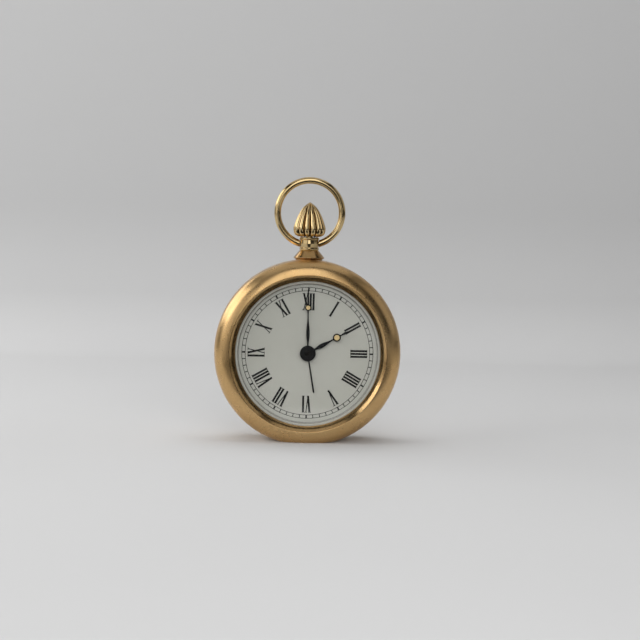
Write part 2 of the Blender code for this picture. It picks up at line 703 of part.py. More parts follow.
def case_profile():
    """The closed section of the case ring: bullnose outside, rolled front rim, bore and cover seat."""
    points = bullnose(RIM_WIDTH, CASE_BACK, CASE_STEPS)
    points += [
        (COVER_SEAT_RADIUS, CASE_BACK),
        (COVER_SEAT_RADIUS, COVER_SEAT),
        (BORE_RADIUS, COVER_SEAT),
        (BORE_RADIUS, LIP_BACK),
        (OPENING_RADIUS, LIP_BACK),
    ]
    for i in range(RIM_STEPS):
        angle = math.pi / 2 * i / RIM_STEPS
        radius = RIM_RADIUS - (RIM_RADIUS - OPENING_RADIUS) * math.cos(angle)
        points.append((radius, LIP_FRONT - RIM_ROLL * math.sin(angle)))
    return points


def below(height):
    """A block that takes away all of the case below a height over the dial's centre."""
    outside = CASE_RADIUS + OVERRUN
    return block((-outside, CASE_FRONT - OVERRUN, -outside), (outside, CASE_BACK + OVERRUN, height))


def shell_space():
    """The hollow of the case, open to the movement between the lip and the cover's ledge."""
    front = LIP_BACK + SHELL_LAND
    back = COVER_SEAT - SHELL_LAND
    points = [(BORE_RADIUS - OVERRUN, front), (BORE_RADIUS + SEAT_GAP, front)]
    for radius, depth in bullnose(RIM_WIDTH - SHELL_THICKNESS, CASE_BACK - SHELL_THICKNESS, SHELL_STEPS):
        if front < depth < back:
            points.append((radius, depth))
    points += [(BORE_RADIUS + SEAT_GAP, back), (BORE_RADIUS - OVERRUN, back)]
    ring = lathe("space", points, CASE_FACETS, closed=True)
    return cut(ring, below(SHELL_THICKNESS - CENTRE_HEIGHT))


def make_case():
    ring = lathe("case_body", case_profile(), CASE_FACETS, closed=True)
    outside = CASE_RADIUS + OVERRUN
    inside = BORE_RADIUS - OVERRUN
    spot_level = PENDANT_BASE - SEAT_GAP - CENTRE_HEIGHT
    spot = upright(rod(PENDANT_FLARE_RADIUS + SEAT_GAP, spot_level, outside, DISC_FACETS))
    hole = upright(rod(STUD_RADIUS + SEAT_GAP, inside, outside))
    shell = cut(ring, below(-CENTRE_HEIGHT), spot, hole, shell_space())
    place(shell, "case_body", CENTRE, "case_brass")


def make_crystal():
    inner = CRYSTAL_RADIUS - CRYSTAL_WALL
    bevel_radius = CRYSTAL_RADIUS - CRYSTAL_BEVEL
    outside = []
    inside = []
    for i in range(CRYSTAL_STEPS + 1):
        share = i / CRYSTAL_STEPS
        sag = CRYSTAL_DOME * share * share
        outside.append((bevel_radius * share, CRYSTAL_TOP - CRYSTAL_DOME + sag))
        inside.append((inner * share, CRYSTAL_TOP - CRYSTAL_DOME + CRYSTAL_WALL + sag))
    rim = [
        (CRYSTAL_RADIUS, CRYSTAL_SHOULDER),
        (CRYSTAL_RADIUS, CRYSTAL_SEAT),
        (STACK_RADIUS, CRYSTAL_SEAT),
        (STACK_RADIUS, CRYSTAL_BACK),
        (inner, CRYSTAL_BACK),
    ]
    place(lathe("crystal", outside + rim + inside[::-1], RING_FACETS), "crystal", CENTRE, "crystal")


def make_rehaut():
    profile = [
        (REHAUT_INNER, REHAUT_BACK),
        (STACK_RADIUS, REHAUT_BACK),
        (STACK_RADIUS, REHAUT_FRONT),
        (REHAUT_INNER + REHAUT_SLOPE, REHAUT_FRONT),
        (REHAUT_INNER, REHAUT_BACK - REHAUT_STEP),
    ]
    place(lathe("crystal_ring", profile, RING_FACETS, closed=True), "crystal_ring", CENTRE, "steel")


def make_dial():
    outlines = [circle(STACK_RADIUS, RING_FACETS), circle(DIAL_HOLE, ARBOR_FACETS)]
    plate = prism("dial", outlines, DIAL_FRONT, DIAL_BACK)
    feet = []
    for angle in DIAL_FOOT_ANGLES:
        at = polar(DIAL_FOOT_PLACE, angle)
        feet.append(rod(DIAL_FOOT_RADIUS, DIAL_BACK - BLEND, FRONT_PLATE_BACK, PIN_FACETS, at))
    place(fused(plate, *feet), "dial", CENTRE, "dial_enamel")


def plate_screw(name, at, head_radius, head_height, shank_radius, head_front, shank_end):
    """A cheese-head screw with a slot. The shank runs from the head's seat to its end."""
    seat = head_front + head_height
    if shank_end < head_front:
        seat = head_front - head_height
    step = math.copysign(1.0, seat - head_front)
    head = rod(head_radius, *sorted((head_front, seat)), PIN_FACETS)
    shank = rod(shank_radius, *sorted((seat - step * BLEND, shank_end)), PIN_FACETS)
    slot_half = SLOT_WIDTH_SHARE * head_radius / 2
    reach = head_radius + OVERRUN
    low, high = sorted((head_front - step * OVERRUN, head_front + step * head_height * SLOT_DEPTH_SHARE))
    slot = block((-reach, low, -slot_half), (reach, high, slot_half))
    place(cut(fused(head, shank), slot), name, at, "steel")


def make_ring():
    profile = [
        (RING_INNER, RING_FRONT),
        (STACK_RADIUS, RING_FRONT),
        (STACK_RADIUS, RING_BACK),
        (RING_INNER, RING_BACK),
        (RING_INNER, LEDGE_FRONT + LEDGE_THICKNESS),
        (LEDGE_INNER, LEDGE_FRONT + LEDGE_THICKNESS),
        (LEDGE_INNER, LEDGE_FRONT),
        (RING_INNER, LEDGE_FRONT),
    ]
    ring = lathe("movement_ring", profile, INNER_FACETS, closed=True)
    holes = [
        rod(PLATE_SCREW_SHANK + RUN_GAP, LEDGE_FRONT - OVERRUN, LEDGE_FRONT + LEDGE_THICKNESS + OVERRUN,
            PIN_FACETS, polar(PLATE_SCREW_PLACE, angle))
        for angle in PLATE_SCREW_ANGLES
    ]
    holes += [
        rod(COVER_SCREW_SHANK + RUN_GAP, RING_BACK - COVER_SCREW_REACH - SEAT_GAP, RING_BACK + OVERRUN,
            PIN_FACETS, polar(COVER_SCREW_PLACE, angle))
        for angle in COVER_SCREW_ANGLES
    ]
    place(cut(ring, *holes), "movement_ring", CENTRE, "movement_brass")


def pivot_hole(radius, at, facets=PIN_FACETS):
    return circle(radius + PIVOT_PLAY, facets, at)


def make_plates():
    pivots = (
        THIRD_PLACE, FOURTH_PLACE, ESCAPE_PLACE, PALLET_PLACE, BALANCE_PLACE, STRIKE_PLACE, HAMMER_PLACE,
    )
    shared = [pivot_hole(ARBOR_RADIUS, at) for at in pivots]
    shared += [pivot_hole(TENON_RADIUS, at) for at in PILLAR_PLACES]
    shared.append(pivot_hole(CENTRE_ARBOR_RADIUS + PIVOT_PLAY, CENTRE, ARBOR_FACETS))
    shared.append(pivot_hole(CENTRE_ARBOR_RADIUS, ALARM_SET_PLACE, ARBOR_FACETS))
    front = [pivot_hole(WINDING_PIVOT_RADIUS, at, ARBOR_FACETS) for at in (GREAT_PLACE, ALARM_GREAT_PLACE)]
    front.append(pivot_hole(MINUTE_STUD_RADIUS, MINUTE_WHEEL_PLACE))
    for angle in DIAL_FOOT_ANGLES:
        front.append(circle(DIAL_FOOT_RADIUS + RUN_GAP, PIN_FACETS, polar(DIAL_FOOT_PLACE, angle)))
    for angle in PLATE_SCREW_ANGLES:
        front.append(circle(PLATE_SCREW_SHANK + RUN_GAP, PIN_FACETS, polar(PLATE_SCREW_PLACE, angle)))
    outline = circle(FRONT_PLATE_RADIUS, INNER_FACETS)
    mesh = prism("front_plate", [outline] + shared + front, FRONT_PLATE_FRONT, FRONT_PLATE_BACK)
    place(mesh, "front_plate", CENTRE, "movement_brass")

    back = [pivot_hole(WINDING_ARBOR_RADIUS, at, ARBOR_FACETS) for at in (GREAT_PLACE, ALARM_GREAT_PLACE)]
    back.append(pivot_hole(STOP_STEM_RADIUS, STOP_PLACE, ARBOR_FACETS))
    outline = circle(BACK_PLATE_RADIUS, INNER_FACETS)
    mesh = prism("back_plate", [outline] + shared + back, BACK_PLATE_FRONT, BACK_PLATE_BACK)
    room = rod(POST_COLLAR_RADIUS + SEAT_GAP, BACK_PLATE_FRONT - OVERRUN, BACK_PLATE_BACK + OVERRUN,
               ARBOR_FACETS, POST_PLACE)
    place(cut(mesh, room), "back_plate", CENTRE, "movement_brass")


def make_pillars():
    for index, at in enumerate(PILLAR_PLACES, 1):
        profile = [
            (0.0, FRONT_PLATE_FRONT + FINE_GAP),
            (TENON_RADIUS, FRONT_PLATE_FRONT + FINE_GAP),
            (TENON_RADIUS, TRAIN_START),
            (PILLAR_RADIUS, TRAIN_START),
            (PILLAR_RADIUS, TRAIN_END),
            (TENON_RADIUS, TRAIN_END),
            (TENON_RADIUS, BACK_PLATE_BACK + SEAT_GAP + NUT_HEIGHT),
            (0.0, BACK_PLATE_BACK + SEAT_GAP + NUT_HEIGHT),
        ]
        place(lathe(f"pillar_{index}", profile, PIN_FACETS), f"pillar_{index}", at, "movement_brass")
        nut_front = BACK_PLATE_BACK + SEAT_GAP
        nut = prism("nut", [circle(NUT_RADIUS, HEX_SIDES), circle(TENON_RADIUS + RUN_GAP, PIN_FACETS)],
                    nut_front, nut_front + NUT_HEIGHT)
        place(nut, f"pillar_nut_{index}", at, "steel")
    for index, angle in enumerate(PLATE_SCREW_ANGLES, 1):
        head_front = FRONT_PLATE_FRONT - SEAT_GAP - PLATE_SCREW_HEAD_HEIGHT
        plate_screw(
            f"plate_screw_{index}", polar(PLATE_SCREW_PLACE, angle), PLATE_SCREW_HEAD,
            PLATE_SCREW_HEAD_HEIGHT, PLATE_SCREW_SHANK, head_front, LEDGE_FRONT + PLATE_SCREW_REACH)


def regulator_slot():
    """The curved slot in the back cover that the regulator's tip moves in."""
    outer = REGULATOR_LENGTH + REGULATOR_TIP_RADIUS + SEAT_GAP
    inner = REGULATOR_LENGTH - REGULATOR_TIP_RADIUS - SEAT_GAP
    half = REGULATOR_SWING + math.degrees((REGULATOR_TIP_RADIUS + SEAT_GAP) / REGULATOR_LENGTH)
    angles = []
    for k in range(REGULATOR_SLOT_STEPS + 1):
        angles.append(REGULATOR_DIRECTION - half + 2 * half * k / REGULATOR_SLOT_STEPS)
    outline = [polar(outer, a, BALANCE_PLACE) for a in angles]
    return outline + [polar(inner, a, BALANCE_PLACE) for a in reversed(angles)]


def make_cover():
    profile = [
        (0.0, COVER_FRONT),
        (COVER_SEAT_RADIUS - SEAT_GAP, COVER_FRONT),
        (COVER_SEAT_RADIUS - SEAT_GAP, COVER_BACK),
        (COVER_PANEL_RADIUS + COVER_THICKNESS / 2, COVER_BACK),
        (COVER_PANEL_RADIUS - COVER_THICKNESS / 2, PANEL_BACK),
        (0.0, PANEL_BACK),
    ]
    cover = lathe("back_cover", profile, RING_FACETS)
    front, back = COVER_FRONT - OVERRUN, PANEL_BACK + OVERRUN
    holes = [
        rod(CENTRE_ARBOR_RADIUS + SEAT_GAP, front, back, ARBOR_FACETS, CENTRE),
        rod(CENTRE_ARBOR_RADIUS + SEAT_GAP, front, back, ARBOR_FACETS, ALARM_SET_PLACE),
        rod(WINDING_ARBOR_RADIUS + SEAT_GAP, front, back, ARBOR_FACETS, GREAT_PLACE),
        rod(WINDING_ARBOR_RADIUS + SEAT_GAP, front, back, ARBOR_FACETS, ALARM_GREAT_PLACE),
        rod(STOP_STEM_RADIUS + RUN_GAP, front, back, ARBOR_FACETS, STOP_PLACE),
        prism("slot", [regulator_slot()], front, back),
    ]
    holes += [
        rod(COVER_SCREW_SHANK + RUN_GAP, front, back, PIN_FACETS, polar(COVER_SCREW_PLACE, angle))
        for angle in COVER_SCREW_ANGLES
    ]
    place(cut(cover, *holes), "back_cover", CENTRE, "case_brass")
    for index, angle in enumerate(COVER_SCREW_ANGLES, 1):
        head_front = COVER_BACK + FINE_GAP + COVER_SCREW_HEAD_HEIGHT
        plate_screw(
            f"cover_screw_{index}", polar(COVER_SCREW_PLACE, angle), COVER_SCREW_HEAD,
            COVER_SCREW_HEAD_HEIGHT, COVER_SCREW_SHANK, head_front, RING_BACK - COVER_SCREW_REACH)


def arbor(level_front, level_back, pinion_module=0.0, pinion_teeth=0, pinion_phase=0.0, pinion_level=0.0):
    """A plain arbor between two depths, with a pinion cut on it where one is named."""
    shaft = rod(ARBOR_RADIUS, level_front, level_back, PIN_FACETS)
    if not pinion_teeth:
        return shaft
    outline = gear_outline(pinion_module, pinion_teeth, pinion_phase)
    return fused(shaft, prism("pinion", [outline], pinion_level, pinion_level + PINION_LENGTH))


PIVOT_FRONT = FRONT_PLATE_FRONT + FINE_GAP
PIVOT_BACK = BACK_PLATE_BACK - FINE_GAP


def make_train():
    """Centre wheel on its sleeve, third and fourth wheels and the escape wheel."""
    phase = meshed(0.0, GREAT_TEETH, CENTRE_PINION_TEETH, GREAT_DIRECTION - 180.0)
    bore = CENTRE_ARBOR_RADIUS + RUN_GAP
    pinion_level = GREAT_LEVEL - (PINION_LENGTH - GREAT_THICKNESS) / 2
    sleeve = rod(CENTRE_SLEEVE_RADIUS, pinion_level, CENTRE_LEVEL + WHEEL_THICKNESS + BLEND)
    outline = gear_outline(GREAT_MODULE, CENTRE_PINION_TEETH, phase)
    pinion = prism("pinion", [outline], pinion_level, pinion_level + PINION_LENGTH)
    wheel = wheel_prism(CENTRE_MODULE, CENTRE_TEETH, 0.0, CENTRE_LEVEL, WHEEL_THICKNESS, 0.0)
    bored = cut(fused(sleeve, pinion, wheel), rod(bore, pinion_level - OVERRUN, BACK_PLATE_FRONT))
    place(bored, "centre_wheel", CENTRE, "movement_brass")

    centre = (CENTRE_MODULE, CENTRE_TEETH, CENTRE_LEVEL)
    third = (THIRD_MODULE, THIRD_TEETH, THIRD_LEVEL)
    fourth = (FOURTH_MODULE, FOURTH_TEETH, FOURTH_LEVEL)
    stages = (
        ("third_wheel", THIRD_PLACE, centre, THIRD_PINION_TEETH, THIRD_DIRECTION, third),
        ("fourth_wheel", FOURTH_PLACE, third, FOURTH_PINION_TEETH, FOURTH_DIRECTION, fourth),
    )
    for name, at, driver, pinion_teeth, direction, own in stages:
        driver_module, driver_teeth, driver_level = driver
        module, teeth, level = own
        phase = meshed(0.0, driver_teeth, pinion_teeth, direction)
        pinion_level = driver_level - (PINION_LENGTH - WHEEL_THICKNESS) / 2
        shaft = arbor(PIVOT_FRONT, PIVOT_BACK, driver_module, pinion_teeth, phase, pinion_level)
        wheel = wheel_prism(module, teeth, 0.0, level, WHEEL_THICKNESS, 0.0)
        place(fused(shaft, wheel), name, at, "movement_brass")

    phase = meshed(0.0, FOURTH_TEETH, ESCAPE_PINION_TEETH, ESCAPE_DIRECTION)
    pinion_level = FOURTH_LEVEL - (PINION_LENGTH - WHEEL_THICKNESS) / 2
    shaft = arbor(PIVOT_FRONT, PIVOT_BACK, FOURTH_MODULE, ESCAPE_PINION_TEETH, phase, pinion_level)
    outline = saw_outline(ESCAPE_RADIUS, ESCAPE_TOOTH_DEPTH, ESCAPE_TEETH, ESCAPE_TOOTH_SHARES)
    wheel = prism("escape", [outline], ESCAPE_LEVEL, ESCAPE_LEVEL + WHEEL_THICKNESS)
    place(fused(shaft, wheel), "escape_wheel", ESCAPE_PLACE, "steel")


def make_great_wheel(name, at):
    """The toothed wheel that a mainspring drives, free on its winding arbor."""
    bore = WINDING_ARBOR_RADIUS + PIVOT_PLAY
    mesh = wheel_prism(GREAT_MODULE, GREAT_TEETH, 0.0, GREAT_LEVEL, GREAT_THICKNESS, bore)
    place(mesh, f"{name}_great_wheel", at, "movement_brass")


def make_winding_arbor(name, at):
    """The arbor from the front plate to the key, with the ratchet that its click holds."""
    end = PANEL_BACK + SEAT_GAP + KEY_SOCKET_DEPTH
    profile = [
        (0.0, PIVOT_FRONT),
        (WINDING_PIVOT_RADIUS, PIVOT_FRONT),
        (WINDING_PIVOT_RADIUS, TRAIN_START),
        (WINDING_ARBOR_RADIUS, TRAIN_START),
        (WINDING_ARBOR_RADIUS, end),
        (0.0, end),
    ]
    shaft = lathe("winding_arbor", profile, ARBOR_FACETS)
    outline = saw_outline(RATCHET_RADIUS, RATCHET_DEPTH, RATCHET_TEETH, RATCHET_TOOTH_SHARES)
    ratchet = prism("ratchet", [outline], RATCHET_LEVEL, RATCHET_LEVEL + WHEEL_THICKNESS)
    place(fused(shaft, ratchet), f"{name}_winding_arbor", at, "steel")


def spiral_strip(name, inner, outer, turns, steps, strip, front, back):
    """A flat strip wound into an open spiral, as one unbroken body."""
    bm = bmesh.new()
    count = turns * steps
    sections = []
    for i in range(count + 1):
        angle = 360.0 * i / steps
        radius = inner + (outer - inner) * i / count
        near, far = radius - strip / 2, radius + strip / 2
        section = []
        for r, depth in ((near, front), (far, front), (far, back), (near, back)):
            x, z = polar(r, angle)
            section.append(bm.verts.new((x, depth, z)))
        sections.append(section)
    for one, two in zip(sections, sections[1:]):
        for k in range(4):
            n = (k + 1) % 4
            bm.faces.new((one[k], one[n], two[n], two[k]))
    bm.faces.new(sections[0])
    bm.faces.new(sections[-1])
    return to_mesh(bm, name)


def make_mainspring(name, at):
    inner = WINDING_ARBOR_RADIUS + SEAT_GAP + SPRING_STRIP / 2
    mesh = spiral_strip("mainspring", inner, SPRING_OUTER - SPRING_STRIP / 2, SPRING_TURNS, SPRING_STEPS,
                        SPRING_STRIP, SPRING_LEVEL, SPRING_LEVEL + SPRING_WIDTH)
    place(mesh, f"{name}_mainspring", at, "blued_spring")


def wing_outline():
    """The rounded outline of a key's wing, width across and height away from the clock."""
    half_width = KEY_WING_WIDTH / 2
    half_height = KEY_WING_HEIGHT / 2
    points = []
    for i in range(2 * KEY_WING_FACETS):
        angle = math.pi * (i + 0.5) / KEY_WING_FACETS
        side = math.copysign(abs(math.cos(angle)) ** KEY_WING_POWER, math.cos(angle))
        rise = math.copysign(abs(math.sin(angle)) ** KEY_WING_POWER, math.sin(angle))
        points.append((half_width * side, half_height * rise))
    return points


def make_key(name, at):
    base = PANEL_BACK + SEAT_GAP
    end = base + KEY_STEM_LENGTH
    stem = rod(KEY_STEM_RADIUS, base, end)
    wing = prism("wing", [wing_outline()], -KEY_WING_THICKNESS / 2, KEY_WING_THICKNESS / 2)
    middle = end - KEY_WING_SINK + KEY_WING_HEIGHT / 2
    wing = turned(wing, 90.0, "X", (0.0, middle, 0.0))
    socket = rod(WINDING_ARBOR_RADIUS + RUN_GAP, base - OVERRUN, base + KEY_SOCKET_DEPTH + RUN_GAP)
    place(cut(fused(stem, wing), socket), f"{name}_key", at, "polished_brass")


def make_knob(name, at, radius):
    """A fluted knob pressed on the end of an arbor."""
    base = PANEL_BACK + SEAT_GAP
    outline = []
    pitch = 360.0 / KNOB_FLUTES
    corners = ((radius, -KNOB_RIDGE_SHARE), (radius, KNOB_RIDGE_SHARE), (radius - KNOB_FLUTE_DEPTH, 0.5))
    for i in range(KNOB_FLUTES):
        for r, share in corners:
            outline.append(polar(r, pitch * (i + share)))
    body = prism("knob", [outline], base, base + KNOB_HEIGHT)
    socket = rod(CENTRE_ARBOR_RADIUS + RUN_GAP, base - OVERRUN, base + KNOB_SOCKET_DEPTH + RUN_GAP)
    place(cut(body, socket), name, at, "polished_brass")


def make_motion_work():
    """Minute arbor with its cannon pinion, minute, hour and alarm wheels, and the alarm setting arbor."""
    knob_end = PANEL_BACK + SEAT_GAP + KNOB_SOCKET_DEPTH
    shaft = rod(CENTRE_ARBOR_RADIUS, ARBOR_TIP, knob_end)
    cannon_back = FRONT_PLATE_FRONT - CANNON_RISE
    outline = gear_outline(CANNON_MODULE, CANNON_TEETH, 0.0)
    cannon = prism("cannon", [outline], cannon_back - PINION_LENGTH, cannon_back)
    place(fused(shaft, cannon), "minute_arbor", CENTRE, "steel")

    phase = meshed(0.0, CANNON_TEETH, MINUTE_WHEEL_TEETH, MINUTE_WHEEL_DIRECTION)
    wheel = wheel_prism(
        CANNON_MODULE, MINUTE_WHEEL_TEETH, phase, MINUTE_WHEEL_LEVEL, WHEEL_THICKNESS, 0.0, False)
    outline = gear_outline(HOUR_MODULE, MINUTE_PINION_TEETH, 0.0)
    pinion_front = MINUTE_WHEEL_LEVEL - PINION_LENGTH - BLEND
    pinion = prism("pinion", [outline], pinion_front, MINUTE_WHEEL_LEVEL + BLEND)
    boss = rod(MINUTE_BOSS_RADIUS, MINUTE_WHEEL_LEVEL, FRONT_PLATE_FRONT - FINE_GAP, PIN_FACETS)
    stud = rod(MINUTE_STUD_RADIUS, MINUTE_WHEEL_LEVEL, FRONT_PLATE_BACK - FINE_GAP, PIN_FACETS)
    place(fused(wheel, pinion, boss, stud), "minute_wheel", MINUTE_WHEEL_PLACE, "movement_brass")

    phase = meshed(0.0, MINUTE_PINION_TEETH, HOUR_TEETH, MINUTE_WHEEL_DIRECTION - 180.0)
    wheel = wheel_prism(HOUR_MODULE, HOUR_TEETH, phase, HOUR_LEVEL, WHEEL_THICKNESS, 0.0, False)
    pipe = rod(HOUR_PIPE_OUTER, HOUR_HAND_FRONT, HOUR_LEVEL + BLEND)
    bore = rod(HOUR_PIPE_INNER, HOUR_HAND_FRONT - OVERRUN, HOUR_LEVEL + WHEEL_THICKNESS + BLEND)
    place(cut(fused(wheel, pipe), bore), "hour_wheel", CENTRE, "movement_brass")

    wheel = wheel_prism(ALARM_MODULE, ALARM_TEETH, 0.0, ALARM_LEVEL, WHEEL_THICKNESS, 0.0)
    pipe = rod(ALARM_PIPE_OUTER, ALARM_HAND_FRONT, ALARM_LEVEL + BLEND)
    bore = rod(ALARM_PIPE_INNER, ALARM_HAND_FRONT - OVERRUN, ALARM_LEVEL + WHEEL_THICKNESS + BLEND)
    place(cut(fused(wheel, pipe), bore), "alarm_wheel", CENTRE, "movement_brass")

    phase = meshed(0.0, ALARM_TEETH, ALARM_PINION_TEETH, ALARM_SET_DIRECTION)
    pinion_front = ALARM_LEVEL - (PINION_LENGTH - WHEEL_THICKNESS) / 2
    outline = gear_outline(ALARM_MODULE, ALARM_PINION_TEETH, phase)
    pinion = prism("pinion", [outline], pinion_front, pinion_front + PINION_LENGTH)
    shaft = rod(CENTRE_ARBOR_RADIUS, pinion_front + BLEND, knob_end)
    place(fused(shaft, pinion), "alarm_set_arbor", ALARM_SET_PLACE, "steel")


def hand_outline(hub, blade, dot_place, dot_radius, length):
    """A hand along +Z: hub disc, swelling blade, ring for the luminous dot, and a fine tip."""
    points = []
    right = [(width, along) for along, width in blade if along < dot_place]
    left = [(-width, along) for width, along in reversed(right)]
    tip = [(width, along) for along, width in blade if along > dot_place]
    start = math.degrees(math.acos(right[0][0] / hub))
    for i in range(HUB_STEPS + 1):
        angle = 180.0 - start + (180.0 + 2 * start) * i / HUB_STEPS
        points.append(polar(hub, angle))
    points += right
    dot_turns = []
    if dot_radius > 0:
        dot_turns = [DOT_HALF_ANGLE * (2 * i / DOT_STEPS - 1) for i in range(DOT_STEPS + 1)]
    points += [polar(dot_radius, turn, (0.0, dot_place)) for turn in dot_turns]
    points += tip + [(0.0, length)] + [(-width, along) for width, along in reversed(tip)]
    points += [polar(dot_radius, 180.0 + turn, (0.0, dot_place)) for turn in dot_turns]
    return points + left


def make_hands():
    stem = HAND_STEM_HALF_WIDTH
    minute_widths = (MINUTE_LEAF_HALF_WIDTH, stem, stem, stem, stem)
    minute_blade = [(MINUTE_HUB_RADIUS, stem)]
    minute_blade += [(s * MINUTE_HAND_LENGTH, w) for s, w in zip(MINUTE_BLADE_SHARES, minute_widths)]
    hour_widths = (HOUR_LEAF_HALF_WIDTH, stem, stem, HOUR_LEAF_HALF_WIDTH / 2)
    hour_blade = [(HOUR_HUB_RADIUS, stem)]
    hour_blade += [(s * HOUR_HAND_LENGTH, w) for s, w in zip(HOUR_BLADE_SHARES, hour_widths)]
    specs = (
        ("minute", MINUTE_HUB_RADIUS, minute_blade, MINUTE_DOT_PLACE, MINUTE_DOT_RADIUS, MINUTE_LUME_RADIUS,
         MINUTE_HAND_LENGTH, MINUTE_HAND_FRONT, MINUTE_HAND_ANGLE, CENTRE_ARBOR_RADIUS),
        ("hour", HOUR_HUB_RADIUS, hour_blade, HOUR_DOT_PLACE, HOUR_DOT_RADIUS, HOUR_LUME_RADIUS,
         HOUR_HAND_LENGTH, HOUR_HAND_FRONT, HOUR_HAND_ANGLE, HOUR_PIPE_OUTER),
    )
    for name, hub, blade, dot_place, dot_radius, lume, length, front, angle, pipe in specs:
        outline = hand_outline(hub, blade, dot_place, dot_radius, length)
        pipe_hole = circle(pipe + FINE_GAP, ARBOR_FACETS)
        lume_hole = circle(lume + FINE_GAP, ARBOR_FACETS, (0.0, dot_place))
        mesh = prism("hand", [outline, pipe_hole, lume_hole], front, front + HAND_THICKNESS)
        place(turned(mesh, angle, "Y"), f"{name}_hand", CENTRE, "hand_black")
        disc = rod(lume, front, front + HAND_THICKNESS, ARBOR_FACETS, (0.0, dot_place))
        place(turned(disc, angle, "Y"), f"{name}_lume", CENTRE, "lume")

    half = ALARM_HAND_HALF_WIDTH
    blade = ((ALARM_HUB_RADIUS, half), (ALARM_TIP_SHARE * ALARM_HAND_LENGTH, half))
    outline = hand_outline(ALARM_HUB_RADIUS, blade, ALARM_HAND_LENGTH, 0.0, ALARM_HAND_LENGTH)
    hole = circle(ALARM_PIPE_OUTER + FINE_GAP, ARBOR_FACETS)
    mesh = prism("hand", [outline, hole], ALARM_HAND_FRONT, ALARM_HAND_FRONT + HAND_THICKNESS)
    place(turned(mesh, ALARM_HAND_ANGLE, "Y"), "alarm_hand", CENTRE, "hand_black")

    profile = [
        (CENTRE_ARBOR_RADIUS + FINE_GAP, HAND_NUT_BACK),
        (HAND_NUT_RADIUS, HAND_NUT_BACK),
        (HAND_NUT_RADIUS, HAND_NUT_BACK - HAND_NUT_HEIGHT / 2),
        (HAND_NUT_RADIUS - HAND_NUT_HEIGHT / 2, HAND_NUT_BACK - HAND_NUT_HEIGHT),
        (CENTRE_ARBOR_RADIUS + FINE_GAP, HAND_NUT_BACK - HAND_NUT_HEIGHT),
    ]
    place(lathe("hand_nut", profile, ARBOR_FACETS, closed=True), "hand_nut", CENTRE, "hand_black")


def strip_between(start, end, width, front, back):
    """A straight flat bar between two points of the dial's plane."""
    along = Vector((end[0] - start[0], end[1] - start[1])).normalized()
    side = Vector((-along.y, along.x)) * width / 2
    corners = [
        (start[0] + side.x, start[1] + side.y), (start[0] - side.x, start[1] - side.y),
        (end[0] - side.x, end[1] - side.y), (end[0] + side.x, end[1] + side.y),
    ]
    return prism("bar", [corners], front, back)


def shifted(point, origin):
    return point[0] - origin[0], point[1] - origin[1]


LEVER_BACK = ESCAPE_LEVEL - LEVER_SETBACK
LEVER_FRONT = LEVER_BACK - WHEEL_THICKNESS


def make_pallet_lever():
    """Pin lever: two pallet pins by the escape wheel and a forked arm towards the balance."""
    shaft = arbor(PIVOT_FRONT, PIVOT_BACK)
    pins = []
    arms = []
    pin_front = LEVER_FRONT + BLEND
    pin_back = ESCAPE_LEVEL + WHEEL_THICKNESS
    for sign in (1.0, -1.0):
        tip = polar(PALLET_PIN_CIRCLE, PALLET_DIRECTION + sign * PALLET_PIN_SPREAD, ESCAPE_PLACE)
        tip = shifted(tip, PALLET_PLACE)
        arms.append(strip_between(CENTRE, tip, LEVER_WIDTH, LEVER_FRONT, LEVER_BACK))
        arms.append(rod(LEVER_WIDTH / 2, LEVER_FRONT, LEVER_BACK, PIN_FACETS, tip))
        pins.append(rod(PALLET_PIN_RADIUS, pin_front, pin_back, PIN_FACETS, tip))
    fork_end = BALANCE_DISTANCE - ARBOR_RADIUS - SEAT_GAP
    horn_base, slot_base, horn_tip, slot_tip = [
        polar(reach, BALANCE_DIRECTION)
        for reach in (fork_end - 2 * LEVER_HORN, fork_end - LEVER_HORN, fork_end, fork_end + OVERRUN)
    ]
    arms.append(strip_between(CENTRE, slot_base, LEVER_WIDTH, LEVER_FRONT, LEVER_BACK))
    horn = strip_between(horn_base, horn_tip, LEVER_HORN + LEVER_SLOT, LEVER_FRONT, LEVER_BACK)
    slot = strip_between(slot_base, slot_tip, LEVER_SLOT, LEVER_FRONT - OVERRUN, LEVER_BACK + OVERRUN)
    mesh = cut(fused(shaft, *arms, horn, *pins), slot)
    place(mesh, "pallet_lever", PALLET_PLACE, "steel")


